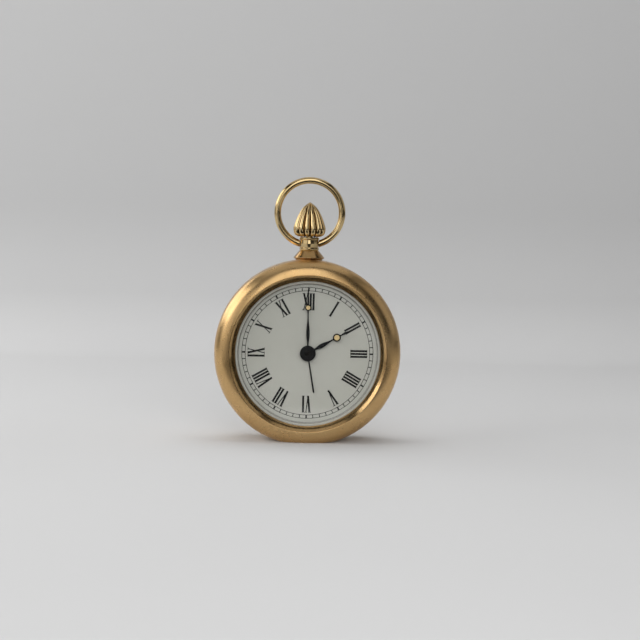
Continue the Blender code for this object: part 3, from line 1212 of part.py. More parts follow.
def make_balance():
    """Balance wheel with its staff, roller and impulse pin, and the hairspring behind it."""
    roller_front = LEVER_BACK + FINE_GAP + IMPULSE_PIN_LENGTH
    wheel_front = roller_front + ROLLER_THICKNESS + BALANCE_LIFT
    wheel_back = wheel_front + BALANCE_THICKNESS
    staff = arbor(PIVOT_FRONT, PIVOT_BACK)
    roller = rod(ROLLER_RADIUS, roller_front, roller_front + ROLLER_THICKNESS)
    pin_place = polar(ROLLER_RADIUS - 2 * IMPULSE_PIN_RADIUS, BALANCE_DIRECTION + 180.0)
    pin_front = roller_front - IMPULSE_PIN_LENGTH
    pin = rod(IMPULSE_PIN_RADIUS, pin_front, roller_front + BLEND, PIN_FACETS, pin_place)
    rim_inner = BALANCE_RADIUS - BALANCE_RIM
    share = BALANCE_ARM / (2 * math.pi * rim_inner / 2)
    windows = spoke_windows(rim_inner, BALANCE_HUB, 2, share)
    wheel = prism("balance", [circle(BALANCE_RADIUS, DISC_FACETS)] + windows, wheel_front, wheel_back)
    collet_back = wheel_back + HAIRSPRING_LIFT + HAIRSPRING_WIDTH
    collet = rod(COLLET_RADIUS, wheel_back - BLEND, collet_back)
    place(fused(staff, roller, pin, wheel, collet), "balance_wheel", BALANCE_PLACE, "movement_brass")

    spring_front = wheel_back + HAIRSPRING_LIFT
    coil = spiral_strip("hairspring", HAIRSPRING_INNER, HAIRSPRING_OUTER, HAIRSPRING_TURNS,
                        HAIRSPRING_STEPS, HAIRSPRING_STRIP, spring_front, spring_front + HAIRSPRING_WIDTH)
    stud_half = 3 * HAIRSPRING_STRIP
    stud = block((HAIRSPRING_OUTER - stud_half, spring_front, -stud_half),
                 (HAIRSPRING_OUTER + stud_half, TRAIN_END, stud_half))
    place(fused(coil, stud), "hairspring", BALANCE_PLACE, "blued_spring")


def make_regulator():
    """The lever behind the back plate, with its tip standing through the cover's slot."""
    front = BACK_PLATE_BACK + SEAT_GAP
    back = front + REGULATOR_THICKNESS
    hub = rod(REGULATOR_HUB, front, back)
    tip = polar(REGULATOR_LENGTH, REGULATOR_DIRECTION)
    bar = strip_between(CENTRE, tip, REGULATOR_WIDTH, front, back)
    pad = rod(REGULATOR_WIDTH / 2, front, back, PIN_FACETS, tip)
    post = rod(REGULATOR_TIP_RADIUS, back - BLEND, PANEL_BACK + REGULATOR_TIP_STAND, PIN_FACETS, tip)
    bore = rod(ARBOR_RADIUS + PIVOT_PLAY, front - OVERRUN, back + OVERRUN)
    place(cut(fused(hub, bar, pad, post), bore), "regulator", BALANCE_PLACE, "steel")


def make_strike():
    """Alarm strike wheel, the hammer that it rocks, the post that the hammer meets and the stop button."""
    phase = meshed(0.0, GREAT_TEETH, STRIKE_PINION_TEETH, STRIKE_DIRECTION)
    pinion_level = GREAT_LEVEL - (PINION_LENGTH - GREAT_THICKNESS) / 2
    shaft = arbor(PIVOT_FRONT, PIVOT_BACK, GREAT_MODULE, STRIKE_PINION_TEETH, phase, pinion_level)
    outline = saw_outline(STRIKE_RADIUS, STRIKE_TOOTH_DEPTH, STRIKE_TEETH, STRIKE_TOOTH_SHARES)
    wheel_back = CENTRE_LEVEL + WHEEL_THICKNESS
    wheel = prism("strike", [outline], CENTRE_LEVEL, wheel_back)
    place(fused(shaft, wheel), "strike_wheel", STRIKE_PLACE, "movement_brass")

    front = HAMMER_LEVEL
    back = HAMMER_LEVEL + WHEEL_THICKNESS
    head_place = polar(HAMMER_ARM_LENGTH, HAMMER_ARM_ANGLE)
    tail_tip = polar(HAMMER_TAIL_LENGTH, HAMMER_TAIL_ANGLE)
    shaft = arbor(PIVOT_FRONT, PIVOT_BACK)
    arm = strip_between(CENTRE, head_place, HAMMER_ARM_WIDTH, front, back)
    tail = strip_between(CENTRE, tail_tip, HAMMER_ARM_WIDTH, front, back)
    head_front = (front + back - HAMMER_HEAD_LENGTH) / 2
    head = rod(HAMMER_HEAD_RADIUS, head_front, head_front + HAMMER_HEAD_LENGTH, ARBOR_FACETS, head_place)
    anchor_foot = polar(ANCHOR_REACH, HAMMER_DIRECTION + 180.0)
    side = HAMMER_DIRECTION + 90.0
    ends = [polar(sign * ANCHOR_WIDTH / 2, side, anchor_foot) for sign in (1.0, -1.0)]
    anchor = strip_between(ends[0], ends[1], ARBOR_RADIUS * 2, CENTRE_LEVEL, wheel_back)
    web = strip_between(CENTRE, anchor_foot, HAMMER_ARM_WIDTH, CENTRE_LEVEL, wheel_back)
    place(fused(shaft, arm, tail, head, web, anchor), "alarm_hammer", HAMMER_PLACE, "steel")

    seat = COVER_FRONT - SEAT_GAP
    profile = [
        (0.0, seat - POST_DEPTH),
        (POST_RADIUS, seat - POST_DEPTH),
        (POST_RADIUS, seat - POST_COLLAR_HEIGHT),
        (POST_COLLAR_RADIUS, seat - POST_COLLAR_HEIGHT),
        (POST_COLLAR_RADIUS, seat),
        (0.0, seat),
    ]
    place(lathe("strike_post", profile, ARBOR_FACETS), "strike_post", POST_PLACE, "steel")

    stem_end = back + SEAT_GAP
    cap_front = PANEL_BACK + SEAT_GAP + STOP_TRAVEL
    profile = [
        (0.0, stem_end),
        (STOP_STEM_RADIUS, stem_end),
        (STOP_STEM_RADIUS, cap_front),
        (STOP_CAP_RADIUS, cap_front),
        (STOP_CAP_RADIUS, cap_front + STOP_EDGE_HEIGHT_SHARE * STOP_CAP_HEIGHT),
        (STOP_EDGE_RADIUS_SHARE * STOP_CAP_RADIUS, cap_front + STOP_CAP_HEIGHT),
        (0.0, cap_front + STOP_CAP_HEIGHT),
    ]
    place(lathe("stop_button", profile, ARBOR_FACETS), "stop_button", STOP_PLACE, "polished_brass")


def make_pendant():
    """Flared collar and neck with its stud, the nut inside the case, the finial and the bow."""
    foot = PENDANT_BASE - CENTRE_HEIGHT
    neck = NECK_BASE - CENTRE_HEIGHT
    top = NECK_TOP - CENTRE_HEIGHT
    bead = PENDANT_NECK_RADIUS + PENDANT_BEAD
    stud_end = PENDANT_NUT_BASE - STUD_TIP
    undercut, lip_low, lip_high = [foot + share * PENDANT_FOOT_HEIGHT for share in PENDANT_LIP_SHARES]
    profile = [
        (0.0, stud_end),
        (STUD_RADIUS, stud_end),
        (STUD_RADIUS, foot),
        (PENDANT_SEAT_RADIUS, foot),
        (PENDANT_SEAT_RADIUS, undercut),
        (PENDANT_FLARE_RADIUS, lip_low),
        (PENDANT_FLARE_RADIUS, lip_high),
        (PENDANT_NECK_RADIUS + PENDANT_CONE_SPREAD, neck - PENDANT_BEAD / 2),
        (PENDANT_NECK_RADIUS, neck),
        (bead, neck + PENDANT_BEAD / 2),
        (bead, neck + PENDANT_BEAD_HEIGHT),
        (PENDANT_NECK_RADIUS, neck + PENDANT_BEAD_HEIGHT + PENDANT_BEAD / 2),
        (PENDANT_NECK_RADIUS, top - PENDANT_BEAD_HEIGHT - PENDANT_BEAD),
        (bead, top - PENDANT_BEAD_HEIGHT),
        (bead, top),
        (0.0, top),
    ]
    body = upright(lathe("pendant", profile, DISC_FACETS))
    socket = upright(rod(FINIAL_STUD_RADIUS + RUN_GAP, top - FINIAL_STUD_LENGTH - SEAT_GAP, top + OVERRUN))
    pivot = BOW_PIVOT - CENTRE_HEIGHT
    outer = PENDANT_NECK_RADIUS + OVERRUN
    inner = PENDANT_NECK_RADIUS - BOW_PIN_REACH - SEAT_GAP
    holes = []
    for sign in (1.0, -1.0):
        hole = rod(BOW_PIN_RADIUS + RUN_GAP, *sorted((sign * inner, sign * outer)), ARBOR_FACETS)
        holes.append(turned(hole, -90.0, "Z", (0.0, 0.0, pivot)))
    place(cut(body, socket, *holes), "pendant", CENTRE, "polished_brass")

    outlines = [circle(PENDANT_NUT_RADIUS, HEX_SIDES), circle(STUD_RADIUS + RUN_GAP, DISC_FACETS)]
    nut = prism("nut", outlines, PENDANT_NUT_BASE, PENDANT_NUT_TOP)
    place(upright(nut), "pendant_nut", CENTRE, "steel")


def make_finial():
    """Fluted bud: rounded lobes with sharp valleys that fade into the tip."""
    bm = bmesh.new()
    count = FINIAL_LOBES * FINIAL_LOBE_POINTS
    rings = []
    base = FINIAL_BASE - CENTRE_HEIGHT
    for height_share, radius_share in FINIAL_OUTLINE_SHARES:
        ring = []
        for i in range(count):
            angle = 360.0 * i / count
            ridge = abs(math.sin(math.radians(angle * FINIAL_LOBES / 2)))
            depth = FINIAL_LOBE_DEPTH_SHARE * min(1.0, FINIAL_LOBE_FADE * (1.0 - height_share))
            radius = FINIAL_RADIUS * radius_share * (1.0 - depth * (1.0 - ridge))
            x, y = polar(radius, angle - 90.0)
            ring.append(bm.verts.new((x, y, base + height_share * FINIAL_HEIGHT)))
        rings.append(ring)
    tip = bm.verts.new((0.0, 0.0, base + FINIAL_HEIGHT))
    for lower, upper in zip(rings, rings[1:]):
        for i in range(count):
            j = (i + 1) % count
            bm.faces.new((lower[i], lower[j], upper[j], upper[i]))
    for i in range(count):
        bm.faces.new((rings[-1][i], rings[-1][(i + 1) % count], tip))
    bm.faces.new(rings[0])
    bud = to_mesh(bm, "finial")
    stud = upright(rod(FINIAL_STUD_RADIUS, base - FINIAL_STUD_LENGTH, base + BLEND))
    place(fused(bud, stud), "finial", CENTRE, "polished_brass")


def make_bow():
    """Wire ring with ends cut square beside the neck and pins in it. Its origin is on the pin axis."""
    bm = bmesh.new()
    pin_inner = PENDANT_NECK_RADIUS - BOW_PIN_REACH
    wire_end = PENDANT_NECK_RADIUS + SEAT_GAP
    half = math.asin(wire_end / BOW_RADIUS)
    middle = Vector((0.0, 0.0, BOW_RISE))
    rings = []
    for i in range(BOW_STEPS + 1):
        angle = half + (2 * math.pi - 2 * half) * i / BOW_STEPS
        outward = Vector((math.sin(angle), 0.0, -math.cos(angle)))
        along = Vector((math.cos(angle), 0.0, math.sin(angle)))
        ring = []
        for k in range(BOW_FACETS):
            turn = 2 * math.pi * k / BOW_FACETS
            offset = outward * math.cos(turn) + Vector((0.0, math.sin(turn), 0.0))
            if i in (0, BOW_STEPS):
                offset -= along * offset.x / along.x
            ring.append(bm.verts.new(middle + BOW_RADIUS * outward + BOW_WIRE_RADIUS * offset))
        rings.append(ring)
    for lower, upper in zip(rings, rings[1:]):
        for i in range(BOW_FACETS):
            j = (i + 1) % BOW_FACETS
            bm.faces.new((lower[i], lower[j], upper[j], upper[i]))
    bm.faces.new(rings[0])
    bm.faces.new(rings[-1])
    ring_mesh = to_mesh(bm, "bow")
    pins = []
    pin_outer = wire_end + BOW_WIRE_RADIUS / 2
    for sign in (1.0, -1.0):
        pin = rod(BOW_PIN_RADIUS, *sorted((sign * pin_inner, sign * pin_outer)), PIN_FACETS)
        pins.append(turned(pin, -90.0, "Z"))
    bow = place(fused(ring_mesh, *pins), "bow", CENTRE, "polished_brass")
    bow.location.z = BOW_PIVOT


def main():
    clear_scene()
    make_case()
    make_crystal()
    make_rehaut()
    make_dial()
    make_ring()
    make_plates()
    make_pillars()
    make_cover()
    make_train()
    for name, at in (("time", GREAT_PLACE), ("alarm", ALARM_GREAT_PLACE)):
        make_great_wheel(name, at)
        make_winding_arbor(name, at)
        make_mainspring(name, at)
        make_key(name, at)
    make_knob("hand_set_knob", CENTRE, HAND_KNOB_RADIUS)
    make_knob("alarm_set_knob", ALARM_SET_PLACE, ALARM_KNOB_RADIUS)
    make_motion_work()
    make_hands()
    make_pallet_lever()
    make_balance()
    make_regulator()
    make_strike()
    make_pendant()
    make_finial()
    make_bow()


main()
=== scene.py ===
"""Looks of the wind-up desk clock: fine surfaces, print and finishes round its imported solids.

Metres and degrees, +Z up, the dial faces -Y. Heights of turned pieces are measured from the
dial's centre. A profile's points are (radius, depth), or (radius, height) for an upright piece.
"""

import math

import bmesh
import bpy
from mathutils import Matrix, Vector


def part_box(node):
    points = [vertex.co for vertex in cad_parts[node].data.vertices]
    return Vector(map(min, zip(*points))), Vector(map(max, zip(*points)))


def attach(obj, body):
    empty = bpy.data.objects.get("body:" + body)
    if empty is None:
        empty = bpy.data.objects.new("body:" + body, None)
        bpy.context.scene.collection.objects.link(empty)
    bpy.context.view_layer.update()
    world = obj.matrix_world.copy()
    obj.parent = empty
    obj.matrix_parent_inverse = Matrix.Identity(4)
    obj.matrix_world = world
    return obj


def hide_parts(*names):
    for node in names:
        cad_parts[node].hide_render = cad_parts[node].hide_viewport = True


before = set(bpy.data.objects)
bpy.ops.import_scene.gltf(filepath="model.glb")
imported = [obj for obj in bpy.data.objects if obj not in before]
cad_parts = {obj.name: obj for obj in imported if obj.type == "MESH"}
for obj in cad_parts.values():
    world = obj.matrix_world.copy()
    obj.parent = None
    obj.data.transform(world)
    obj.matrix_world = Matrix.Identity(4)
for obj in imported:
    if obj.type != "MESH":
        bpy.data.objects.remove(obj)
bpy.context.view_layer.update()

MM = 0.001


def low(node):
    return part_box(node)[0]


def high(node):
    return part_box(node)[1]


# Places and levels taken from the frame
CENTRE_HEIGHT = (low("dial").z + high("dial").z) / 2
DIAL_CENTRE = Vector((0.0, 0.0, CENTRE_HEIGHT))
DIAL_FRONT = low("dial").y
CASE_FRONT = low("case_body").y
CASE_BACK = high("case_body").y
CRYSTAL_BACK = high("crystal").y
REHAUT_FRONT = low("crystal_ring").y
REHAUT_BACK = high("crystal_ring").y
COVER_FRONT = low("back_cover").y
PANEL_BACK = high("back_cover").y
PENDANT_TOP = high("pendant").z
FINIAL_TOP = high("finial").z
BOW_TOP = high("bow").z

# Case: a round front whose crest ends in a straight flank, which slopes in to the lip
CASE_RADIUS = 40.0 * MM
RIM_RADIUS = 34.8 * MM
OPENING_RADIUS = 31.0 * MM
BORE_RADIUS = 33.4 * MM
COVER_SEAT_RADIUS = 34.0 * MM
RIM_ROLL = 2.2 * MM
LIP_THICKNESS = 0.8 * MM
COVER_SEAT_DEPTH = 1.9 * MM
SEAT_GAP = 0.3 * MM
EDGE_SOFTNESS = 0.15 * MM
FRONT_ROUND_CENTRE = 33.15 * MM
FRONT_ROUND = CASE_RADIUS - FRONT_ROUND_CENTRE
FRONT_ROUND_START = 5.0
CREST_SOFTNESS = 0.25 * MM
CREST_STEPS = 6
FLANK_FOOT = 31.65 * MM
FLANK_POLISH = 0.7
FLANK_POLISH_EDGE = (33.5 * MM, 33.9 * MM)
SIDE_BACK = 2.0 * MM
SPOT_RADIUS = 6.9 * MM
SPOT_DROP = 0.7 * MM
CUT_REACH = 20.0 * MM

# Crystal, rehaut and dial
CRYSTAL_RADIUS = 30.7 * MM
CRYSTAL_RIM_RADIUS = 33.1 * MM
CRYSTAL_WALL = 1.2 * MM
CRYSTAL_RIM = 0.8 * MM
CRYSTAL_BEVEL = 0.9 * MM
CRYSTAL_STAND = 0.7 * MM
CRYSTAL_DOME = 0.7 * MM
REHAUT_INNER = 29.7 * MM
REHAUT_SLOPE = 0.7 * MM
REHAUT_STEP = 0.5 * MM
DIAL_RADIUS = 33.1 * MM
DIAL_THICKNESS = 0.5 * MM
DIAL_HOLE = 1.9 * MM

# Dial print
INK_HEIGHT = 0.02 * MM
MINUTES = 60
MINUTES_TO_A_NUMERAL = 5
TRACK_RADII = (26.7 * MM, 28.15 * MM)
TRACK_LINE = 0.23 * MM
MINUTE_LINE = 0.36 * MM
HOUR_LINE = 0.68 * MM
HOUR_LINE_REACH = 0.1 * MM
NUMERAL_INNER = 18.4 * MM
NUMERAL_OUTER = 25.65 * MM
THICK_STROKE = 0.86 * MM
THIN_STROKE = 0.38 * MM
SERIF_STROKE = 0.26 * MM
BAR_PITCH = 1.24 * MM
SERIF_REACH = 0.14 * MM
LETTER_SPREADS = {"I": 0.0, "V": 1.58 * MM, "X": 1.72 * MM}
NUMERALS = ("XII", "I", "II", "III", "IIII", "V", "VI", "VII", "VIII", "IX", "X", "XI")

# Hands
HAND_EDGE = 0.05 * MM
STEM_HALF = 0.25 * MM
MINUTE_LEAF = 0.74 * MM
HOUR_LEAF = 0.92 * MM
ALARM_HALF = 0.29 * MM
ALARM_TIP_HALF = 0.34 * MM
ARBOR_RADIUS = 0.6 * MM
NUT_RADIUS = 1.1 * MM
LUME_CROWN = 0.12 * MM
RING_TURNS = (166.0, 14.0)
RING_REACH_SHARE = 0.97

# Each hand, with the half-width at its hub, the knots beyond it as shares of its length with
# their half-widths, and the place and radii of its luminous dot
HANDS = (
    dict(name="minute_hand_blade", node="minute_hand", body="minute_works", angle=-0.7,
         hub=3.4 * MM, pipe=ARBOR_RADIUS, length=28.1 * MM, root=1.3 * STEM_HALF,
         knots=((0.30, MINUTE_LEAF), (0.57, STEM_HALF), (0.75, 1.6 * STEM_HALF),
                (0.92, 1.1 * STEM_HALF), (1.0, 0.5 * STEM_HALF)),
         lume_node="minute_lume", dot=19.6 * MM, ring=1.38 * MM, lume=0.9 * MM),
    dict(name="hour_hand_blade", node="hour_hand", body="hour_works", angle=60.5,
         hub=2.9 * MM, pipe=1.1 * MM, length=20.4 * MM, root=1.5 * STEM_HALF,
         knots=((0.33, HOUR_LEAF), (0.59, 1.2 * STEM_HALF), (0.79, STEM_HALF),
                (0.88, HOUR_LEAF / 2), (1.0, 0.1 * HOUR_LEAF)),
         lume_node="hour_lume", dot=14.2 * MM, ring=1.74 * MM, lume=1.16 * MM),
    dict(name="alarm_hand_blade", node="alarm_hand", body="alarm_hand_works", angle=170.0,
         hub=2.6 * MM, pipe=1.6 * MM, length=17.5 * MM, root=ALARM_HALF,
         knots=((0.97, ALARM_TIP_HALF), (1.0, ALARM_HALF))),
)

# Pendant and bow
PENDANT_SEAT = 5.8 * MM
PENDANT_FLARE = 6.65 * MM
PENDANT_FOOT = 1.8 * MM
PENDANT_CONE = 2.6 * MM
PENDANT_LOW = CASE_RADIUS - SPOT_DROP + SEAT_GAP
NECK_LOW = PENDANT_LOW + PENDANT_FOOT + PENDANT_CONE
FLARE_LEVELS = (0.25 * PENDANT_FOOT, 0.5 * PENDANT_FOOT, 0.66 * PENDANT_FOOT)
NECK_RADIUS = 3.9 * MM
NECK_BEAD = 0.35 * MM
BEAD_HEIGHT = 0.9 * MM
CONE_SPREAD = 0.25 * MM
STUD_RADIUS = 2.0 * MM
BOW_RADIUS = 13.9 * MM
BOW_WIRE = 1.46 * MM
BOW_PIN = 0.8 * MM
BOW_PIN_REACH = 1.2 * MM
BOW_RISE = 13.3 * MM
BOW_CENTRE = BOW_TOP - BOW_WIRE - BOW_RADIUS
BOW_PIVOT = BOW_CENTRE - BOW_RISE
PIN_TURNS = (90.0, -90.0)

# Finial. Its lobes are flat at the tip, faint at the foot, and lift into toes at the bottom
FINIAL_HEIGHT = 15.0 * MM
FINIAL_RADIUS = 7.0 * MM
FINIAL_LOBES = 14
FINIAL_STUD = 1.5 * MM
FINIAL_STUD_LENGTH = 3.0 * MM
LOBE_DEPTH_SHARE = 0.2
LOBE_ROUNDNESS = 0.8
LOBE_FADE = 5.0
FOOT_LOBES = 0.35
TOE_LIFT_SHARE = 0.07
TOE_FADE = 4.0

# Shares of the finial's height and of its radius, from its seat to its tip
FINIAL_SHARES = (
    (0.00, 0.50), (0.015, 0.70), (0.05, 0.86), (0.10, 0.94), (0.18, 0.99), (0.26, 0.995),
    (0.34, 0.95), (0.42, 0.89), (0.50, 0.83), (0.58, 0.76), (0.66, 0.675), (0.74, 0.58),
    (0.82, 0.47), (0.88, 0.36), (0.93, 0.235), (0.97, 0.12), (0.99, 0.05),
)

# Back
PANEL_RADIUS = 29.2 * MM
COVER_RADIUS = 33.7 * MM
COVER_THICKNESS = 1.0 * MM
SCREW_SHANK = 0.6 * MM
SCREW_HEAD_HEIGHT = 0.7 * MM
SCREW_SLOT = 0.36 * MM
SCREW_TURNS = (24.0, 71.0, 135.0)
REGULATOR_REACH = 6.8 * MM
REGULATOR_SLOT_HALF = 0.8 * MM
REGULATOR_MIDDLE = 15.0
REGULATOR_SWING = 20.0
KEY_STEM = 2.1 * MM
KEY_COLLAR = 0.5 * MM
KEY_WING_SIZE = (13.0 * MM, 1.4 * MM, 6.5 * MM)
KEY_STEM_LENGTH = 4.0 * MM
KEY_WING_POWER = 0.7
KEY_WING_SINK = 1.2 * MM
KNOB_FLUTES = 12
KNOB_FLUTE_DEPTH = 0.25 * MM
KNOB_FLUTE_POWER = 3
KNOB_STEP = 0.5 * MM
STOP_STEM = 0.9 * MM
STOP_CAP = 2.2 * MM
STOP_CAP_HEIGHT = 1.6 * MM
STOP_SIDE_SHARE = 0.7
STOP_FACE_SHARE = 0.8

# Radii of the cover's holes, and the nodes that pass through them
COVER_HOLES = (
    (0.9 * MM, ("hand_set_knob", "alarm_set_knob")),
    (1.6 * MM, ("time_key", "alarm_key")),
    (1.1 * MM, ("stop_button",)),
    (0.7 * MM, ("cover_screw_1", "cover_screw_2", "cover_screw_3")),
)

# Fineness of round shapes, and the turns from which an edge is bevelled or shown sharp
FINE_STEPS = 256
BOW_STEPS = 160
ROUND_STEPS = 96
SMALL_STEPS = 48
ROLL_STEPS = 40
HAND_STEPS = 28
RING_STEPS = 16
LOBE_STEPS = 12
FLUTE_STEPS = 12
CORNER_STEPS = 4
HAND_BEVELS = 2
ROUND_BEVELS = 3
WING_BEVELS = 4
BEVEL_ANGLE = 35.0
SMOOTH_ANGLE = 32.0
BEVELLED_SMOOTH_ANGLE = 50.0
ROUND_ANGLE = 60.0
STRAIGHT_COSINE = -0.985

# Textures, as scale and detail, and the values between which they are spread
TEXTURE_EDGES = (0.3, 0.7)
BRASS_CLOUD = (45.0, 4.0)
BRASS_CLOUD_EDGES = (0.32, 0.66)
BRASS_GRAIN = (1400.0, 2.0)
BRASS_SPECKS = (520.0, 2.0)
BRASS_GLOSS = (160.0, 4.0)
SPECK_EDGE = 0.07
DUST_EDGES = (0.70, 0.80)
BLACK = (0.0, 0.0, 0.0)
# Painted shade in the finial's valleys: its dark brown, how strong it is, and where across a lobe
# it starts and ends
VALLEY_SHADE = (0.15, 0.07, 0.02)
VALLEY_SHADE_AMOUNT = 0.85
VALLEY_EDGES = (0.62, 0.12)
CONE_BROWN = (0.36, 0.17, 0.045)
CONE_BROWN_AMOUNT = 0.6

# The nodes that stay and aren't steel, by finish
NODE_LOOKS = {
    "movement": (
        "movement_ring", "front_plate", "back_plate", "pillar_1", "pillar_2", "pillar_3",
        "pillar_4", "minute_wheel", "hour_wheel", "alarm_wheel", "centre_wheel", "third_wheel",
        "fourth_wheel", "time_great_wheel", "alarm_great_wheel", "strike_wheel", "balance_wheel",
    ),
    "blued": ("time_mainspring", "alarm_mainspring", "hairspring"),
    "nut": ("minute_arbor",),
}

# Stage: pale cloth that runs up a wall, with painted shade where it rises, and a gap in front that
# only reflections see
FLOOR_COLOUR = (0.62, 0.62, 0.62)
FLOOR_DARK = (0.59, 0.59, 0.59)
# Painted shade: the same cloth's colour where it runs up the cove and wall
WALL_SHADE_COLOUR = (0.51, 0.51, 0.51)
WALL_SHADE_BLEND = 0.04
FLOOR_HALF = 2.4
FRONT_END = -2.4
FRONT_EDGE = -0.09
GAP = (-0.24, 0.17)
WALL_PLACE = 0.46
WALL_HEIGHT = 1.6
COVE_RADIUS = 0.10
COVE_STEPS = 12
WORLD_COLOUR = (0.035, 0.035, 0.035)

# Name, place, width, height, watts and whether reflections show it, for each lamp
AIM_HEIGHT = 50.0 * MM
LAMPS = (
    ("window_softbox", (-0.05, -0.87, 0.55), 0.54, 0.96, 2.6, True),
    ("left_softbox", (-0.90, -0.12, 0.58), 0.95, 0.52, 3.4, True),
    ("left_panel", (-0.80, -0.56, 0.30), 1.10, 0.50, 1.4, True),
    ("right_softbox", (0.90, -0.10, 0.52), 0.90, 0.76, 0.8, True),
    ("ceiling_softbox", (0.0, 0.10, 1.00), 1.20, 1.00, 1.8, True),
    ("back_left_softbox", (-0.52, 0.36, 0.36), 0.34, 0.34, 0.7, True),
    ("front_fill", (0.05, -1.00, 0.28), 0.80, 0.50, 4.2, False),
    ("top_fill", (0.0, 0.15, 0.95), 0.80, 0.80, 3.6, False),
)

# Camera, from the photograph: distance, direction, field of view and the dial centre's pixel
PHOTO_SIZE = 640
CAMERA_DISTANCE = 0.675
CAMERA_AZIMUTH = -2.5
CAMERA_ELEVATION = 5.0
CAMERA_ROLL = 1.3
FIELD_OF_VIEW = 23.0
DIAL_PIXEL = (307.5, 353.0)
CLIP_START = 0.01


def polar(radius, degrees):
    """A point of the dial's plane, clockwise from 12 o'clock as seen from the front."""
    angle = math.radians(degrees)
    return radius * math.sin(angle), radius * math.cos(angle)


def circle(radius, steps, centre=(0.0, 0.0)):
    points = [polar(radius, 360.0 * i / steps) for i in range(steps)]
    return [(centre[0] + x, centre[1] + z) for x, z in points]


def section_round(centre, reach, start, end):
    """The points of a profile's round: at 0 degrees it faces forward, and at 90 outward."""
    points = []
    for i in range(ROLL_STEPS + 1):
        out, ahead = polar(1.0, start + (end - start) * i / ROLL_STEPS)
        points.append((centre[0] + reach[0] * out, centre[1] - reach[1] * ahead))
    return points


def corner_arc(before, corner, after, radius, steps):
    """The points that round one corner of an outline."""
    to_before = (before - corner).normalized()
    to_after = (after - corner).normalized()
    tangent = radius / math.tan(to_before.angle(to_after) / 2)
    reach = min(tangent, (before - corner).length / 2, (after - corner).length / 2)
    start = corner + to_before * reach
    end = corner + to_after * reach
    arc = []
    for i in range(steps + 1):
        share = i / steps
        rest = 1 - share
        arc.append(rest ** 2 * start + 2 * share * rest * corner + share ** 2 * end)
    return arc


def softened(points, radius, closed=True, steps=CORNER_STEPS):
    """An outline with its corners rounded, apart from the ends of an open one."""
    corners = [Vector(point) for point in points]
    count = len(corners)
    made = []
    for i, corner in enumerate(corners):
        before, after = corners[i - 1], corners[(i + 1) % count]
        is_end = not closed and i in (0, count - 1)
        cosine = (before - corner).normalized().dot((after - corner).normalized())
        if is_end or cosine < STRAIGHT_COSINE:
            made.append(corner)
        else:
            made += corner_arc(before, corner, after, radius, steps)
    return [tuple(point) for point in made]


def skin(bm, rings, closed=False):
    """Faces between each ring and the next; triangles where a ring is one point repeated."""
    pairs = list(zip(rings, rings[1:]))
    if closed:
        pairs.append((rings[-1], rings[0]))
    for one, two in pairs:
        for i in range(len(one)):
            j = (i + 1) % len(one)
            corners = []
            for vert in (one[i], one[j], two[j], two[i]):
                if vert not in corners:
                    corners.append(vert)
            if len(corners) > 2:
                bm.faces.new(corners)


def lathe(profile, steps, closed=True, axis="Y"):
    """A profile turned about the clock's depth or about the vertical."""
    bm = bmesh.new()
    rings = []
    for radius, depth in profile:
        count = 1 if radius == 0 else steps
        ring = []
        for x, z in circle(radius, steps)[:count]:
            ring.append(bm.verts.new((x, depth, z) if axis == "Y" else (x, z, depth)))
        rings.append(ring * (steps // count))
    skin(bm, rings, closed)
    return bm


def rod(radius, start, end, axis="Y", steps=SMALL_STEPS):
    profile = [(0.0, start), (radius, start), (radius, end), (0.0, end)]
    return lathe(profile, steps, False, axis)


def block(size, centre):
    bm = bmesh.new()
    bmesh.ops.create_cube(bm, size=1.0)
    matrix = Matrix.Translation(centre) @ Matrix.Diagonal((*size, 1.0))
    bmesh.ops.transform(bm, matrix=matrix, verts=bm.verts)
    return bm


def prism(outlines, front, back):
    """Outlines in the dial's plane given a depth; the first is the outer one, the rest holes."""
    bm = bmesh.new()
    edges = []
    for outline in outlines:
        verts = [bm.verts.new((x, front, z)) for x, z in outline]
        edges += [bm.edges.new((verts[i - 1], verts[i])) for i in range(len(verts))]
    bmesh.ops.triangle_fill(bm, use_beauty=True, use_dissolve=True, edges=edges)
    grown = bmesh.ops.extrude_face_region(bm, geom=list(bm.faces))
    moved = [item for item in grown["geom"] if isinstance(item, bmesh.types.BMVert)]
    bmesh.ops.translate(bm, verts=moved, vec=(0.0, back - front, 0.0))
    return bm


def shift(bm, offset):
    bmesh.ops.translate(bm, verts=bm.verts, vec=offset)
    return bm


def turn(bm, degrees, axis="Y", offset=(0.0, 0.0, 0.0)):
    """A mesh turned about an axis through zero, then shifted."""
    matrix = Matrix.Translation(offset) @ Matrix.Rotation(math.radians(degrees), 4, axis)
    bmesh.ops.transform(bm, matrix=matrix, verts=bm.verts)
    return bm


def place_of(node):
    """Where a turned node's axis crosses the plane of zero depth."""
    middle = (low(node) + high(node)) / 2
    return Vector((middle.x, 0.0, middle.z))


def mesh_of(bm, name):
    mesh = bpy.data.meshes.new(name)
    bm.to_mesh(mesh)
    bm.free()
    return mesh


def add_object(name, data, in_reflections=True):
    made = bpy.data.objects.new(name, data)
    made.visible_glossy = in_reflections
    made.visible_transmission = in_reflections
    bpy.context.scene.collection.objects.link(made)
    return made


def to_object(bm, name, body, look, at=DIAL_CENTRE, smooth=SMOOTH_ANGLE):
    """A mesh set at its place, dressed, smoothed and riding on its body."""
    bmesh.ops.recalc_face_normals(bm, faces=bm.faces)
    mesh = mesh_of(bm, name)
    mesh.shade_smooth()
    mesh.set_sharp_from_angle(angle=math.radians(smooth))
    mesh.materials.append(LOOKS[look])
    made = add_object(name, mesh)
    made.location = at
    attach(made, body)
    return made


def apply_modifiers(piece):
    graph = bpy.context.evaluated_depsgraph_get()
    mesh = bpy.data.meshes.new_from_object(piece.evaluated_get(graph))
    piece.modifiers.clear()
    piece.data = mesh


